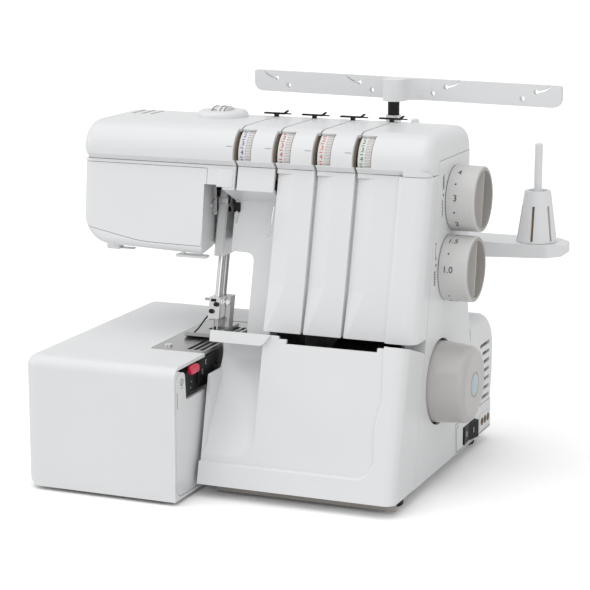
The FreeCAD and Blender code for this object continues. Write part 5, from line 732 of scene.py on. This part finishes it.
bm = bmesh.new()
block(bm, (TABLE_X - 1.0, -23.5, 71.1), (TABLE_X - 0.35, -21.9, 83.4), 0.2)
keep(bm, "slot_strip", "table", looks["beige"])
bm = bmesh.new()
turned(bm, [(2.3, -INK), (2.7, -INK), (2.7, INK), (2.3, INK), (2.3, -INK)], on_end(TABLE_X, -15, 89.5), 28)
for turn in (30, 60, 90):
    stroke(bm, 3.2, 0.4, on_end(TABLE_X, -15, 89.5 + (turn - 60) / 25), turn)
stroke(bm, 3.0, 0.4, on_end(TABLE_X, -15, 85.4))
keep(bm, "table_picture", "table", black_ink)

bm = bmesh.new()
block(bm, (-158.25, 16, 81), (-157.0, 45, 98.6), 0.5)
keep(bm, "bay_plate", "machine", looks["dark_plastic"])
bm = bmesh.new()
for y, z in ((29, 94.5), (23, 88.5)):
    place = on_end(-157.0, y, z)
    stroke(bm, 0.5, 3.0, place)
    stroke(bm, 2.2, 0.5, place @ Matrix.Translation((0.4, 1.2, 0)), 40)
    stroke(bm, 2.2, 0.5, place @ Matrix.Translation((0.4, -1.2, 0)), -40)
for y, z in ((7, 84.7), (5.4, 80.4)):
    stroke(bm, 1.2, 0.6, on_end(-158.3, y, z))
keep(bm, "bay_marks", "machine", white_ink)

# %% [markdown]
# Small things finish the front and side: thin tongues over the dials' rims just under the lid, a strip
# that closes the gap beside the first rib, a brown line that paints the shadow in the seam round the power
# plate, and a black sheet that paints the shade inside the motor vents. The lid's guides get the second
# prong of their fork. All are plain blocks or strokes.

# %% Tongues, painted seam and vent shade, and prongs
bm = bmesh.new()
for x in SLOTS[1:]:
    leaning_block(bm, (x + 0.05, -45.3, 0), (x + 13.2, -44.6, 3.2), 230.0, 0.25)
leaning_block(bm, (SLOTS[1] - 1.8, -31, 0), (SLOTS[1] - 0.15, -15.5, 98), 108, 0.2)
keep(bm, "rib_tongues", "machine", looks["white_shell"])
PLATE_LINE_Z = 11.2
plate = PLATE_STEP + INK / 2
# Brown strokes paint the shadow in the seam round the power plate.
bm = bmesh.new()
stroke(bm, 88, 0.5, on_end(plate, 188, PLATE_LINE_Z))
stroke(bm, 0.5, 19, on_end(plate, 144, PLATE_LINE_Z + 9.5))
stroke(bm, 6, 0.5, on_end(plate, 146.8, 30.9), 20)
keep(bm, "plate_seam_shadow", "machine", looks["brown"])
bm = bmesh.new()
# A black sheet behind the motor vents paints the shade inside them.
block(bm, (-5.0, 186, 34), (-4.0, 232, 86), 0.3)
keep(bm, "vent_shade_sheet", "machine", looks["rubber"])
LID_TOP = 262.0
bm = bmesh.new()
for x in SLOTS:
    block(bm, (x + 4.0, 153.2, LID_TOP + 2.1), (x + 11.6, 154.8, LID_TOP + 3.0), 0.3)
keep(bm, "guide_prongs", "machine", looks["dark_plastic"])

# %% [markdown]
# Below the front cover a warm grey skirt closes the base, set back behind the cover's hinge. In every
# dial window the wall on the dial's left is beige to paint the warm shade in the gap, which shows as a
# warm line. The wall is a flat turned ring, so that it follows the window's curve.

# %% Base skirt and painted window shade
looks["warm_grey"] = moulded("base_warm_grey", grey(0.36, 0.06), grey(0.42, 0.06), gloss=0.5)
bm = bmesh.new()
block(bm, (-143, 15.2, 1.6), (-3, 17.6, 7.2), 0.5)
keep(bm, "base_skirt", "machine", looks["warm_grey"])
bm = bmesh.new()
# Beige rings paint the warm shade in each dial window's gap, on the dial's left.
for x in SLOTS:
    turned(bm, [(12, 0), (19.2, 0), (19.2, 0.8), (12, 0.8), (12, 0)],
           stand(x - 4.2, *LID_ROUND, (0, 1, 0), (0, 0, 1)), 64)
keep(bm, "window_wall_shade", "machine", looks["beige"])

# %% [markdown]
# On the lid a small white peg leads the last thread. Inside the cone holders brown linings paint the warm
# shade that shows through their slots. Peg and linings are round, so they are turned.

# %% Lid peg and painted cone slot shade
STAND_X = -67.0
STAND_Y = 200
SPOOL_PITCH = 74.5
CONE_FOOT = 170.3
# Brown that paints the warm shade seen through the cone holders' slots.
slot_shade = moulded("painted_slot_shade", (0.20, 0.14, 0.07, 1), (0.30, 0.22, 0.12, 1), gloss=0.85,
               grain=0.4, depth=0.08)
for index, step in enumerate((-1.5, -0.5, 0.5, 1.5)):
    bm = bmesh.new()
    turned(bm, [(12.9, 0.4), (8.9, 29), (8.3, 29), (12.3, 0.4), (12.9, 0.4)],
           stand(STAND_X + SPOOL_PITCH * step, STAND_Y, CONE_FOOT, (1, 0, 0), (0, 1, 0)), 48)
    keep(bm, f"cone_slot_shade_{index + 1}", f"cone_{index + 1}", slot_shade)
bm = bmesh.new()
turned(bm, [(0, 2.6), (2.2, 2.5), (3.0, 2.0), (3.2, 1.4), (2.7, 1.0), (2.7, 0.6), (3.6, 0),
            (3.6, -0.4), (0, -0.4)],
       stand(-42, 162, LID_TOP, (1, 0, 0), (0, 1, 0)), 36)
keep(bm, "lid_peg", "machine", looks["white_shell"])

# %% [markdown]
# A small stage: a pale floor that keeps the soft shadow under the feet, and a sky that is white to the
# camera, dimmer as light, and in between in reflections. Light Path tells the rays apart, so floor and
# background can look white without washing the machine out.

# %% Floor and sky
bm = bmesh.new()
bmesh.ops.create_grid(bm, x_segments=1, y_segments=1, size=40)
mesh = bpy.data.meshes.new("studio_floor")
bm.to_mesh(mesh)
bm.free()
floor = bpy.data.objects.new("studio_floor", mesh)
bpy.context.scene.collection.objects.link(floor)
paper = bpy.data.materials.new("studio_paper")
paper.use_nodes = True
sheet = paper.node_tree.nodes["Principled BSDF"]
direct = Sock(paper.node_tree, paper.node_tree.nodes.new("ShaderNodeLightPath").outputs["Is Camera Ray"])
paper.node_tree.links.new(direct.tint(grey(0.85), grey(1.22)).socket, sheet.inputs["Base Color"])
sheet.inputs["Roughness"].default_value = 0.95
sheet.inputs["Specular IOR Level"].default_value = 0.0
floor.data.materials.append(paper)

sky = bpy.data.worlds.new("studio")
sky.use_nodes = True
bpy.context.scene.world = sky
path = sky.node_tree.nodes.new("ShaderNodeLightPath")
seen = Sock(sky.node_tree, path.outputs["Is Camera Ray"])
mirrored = Sock(sky.node_tree, path.outputs["Is Glossy Ray"])
glow = mirrored.tint(grey(0.60), grey(0.80))
glow = seen.tint(glow, grey(1.0))
sky.node_tree.links.new(glow.socket, sky.node_tree.nodes["Background"].inputs["Color"])
print("stage", floor.name, sky.name)

# %% [markdown]
# Most of the light falls from above. A weaker lamp at the right front reaches into the needle recess,
# one from the left picks out the slanted sides of the ribs, and a faint one fills the left front. Far
# broad lamps give soft edges to the shadows without a bright spot near the machine.


# %% Lamps
def lamp(name, direction, spread, strength):
    """A broad soft lamp far off in a direction, as wide as its spread in degrees."""
    light = bpy.data.lights.new(name, "SUN")
    light.angle = math.radians(spread)
    light.energy = strength
    made = bpy.data.objects.new(name, light)
    made.rotation_euler = Vector(direction).to_track_quat("Z", "Y").to_euler()
    bpy.context.scene.collection.objects.link(made)
    print("lamp", name, strength)


lamp("top", (-0.22, -0.30, 1.0), 70, 1.05)
lamp("key", (-0.75, -1.0, 0.45), 24, 0.06)
lamp("fill", (0.62, -0.75, 0.28), 40, 0.26)
lamp("edge", (-1.0, -0.32, 0.35), 20, 0.26)

# %% [markdown]
# The camera stands where the photographer's did: a long lens, a little to the right and above. Its place
# and angles come from a fit to known points of the machine, so they are written as found.

# %% Camera
view = bpy.data.cameras.new("photo")
view.sensor_width = 36
view.lens = 123.68
camera = bpy.data.objects.new("photo", view)
turn = math.radians(22.2)
lift = math.radians(11.91)
back = Vector((math.sin(turn) * math.cos(lift), -math.cos(turn) * math.cos(lift), math.sin(lift)))
camera.location = (0.55773, -1.39649, 0.45061)
camera.rotation_euler = back.to_track_quat("Z", "Y").to_euler()
bpy.context.scene.collection.objects.link(camera)
bpy.context.scene.camera = camera
print("camera", tuple(round(c, 4) for c in camera.location), "lens", view.lens)
bpy.context.scene.view_settings.view_transform = "Standard"
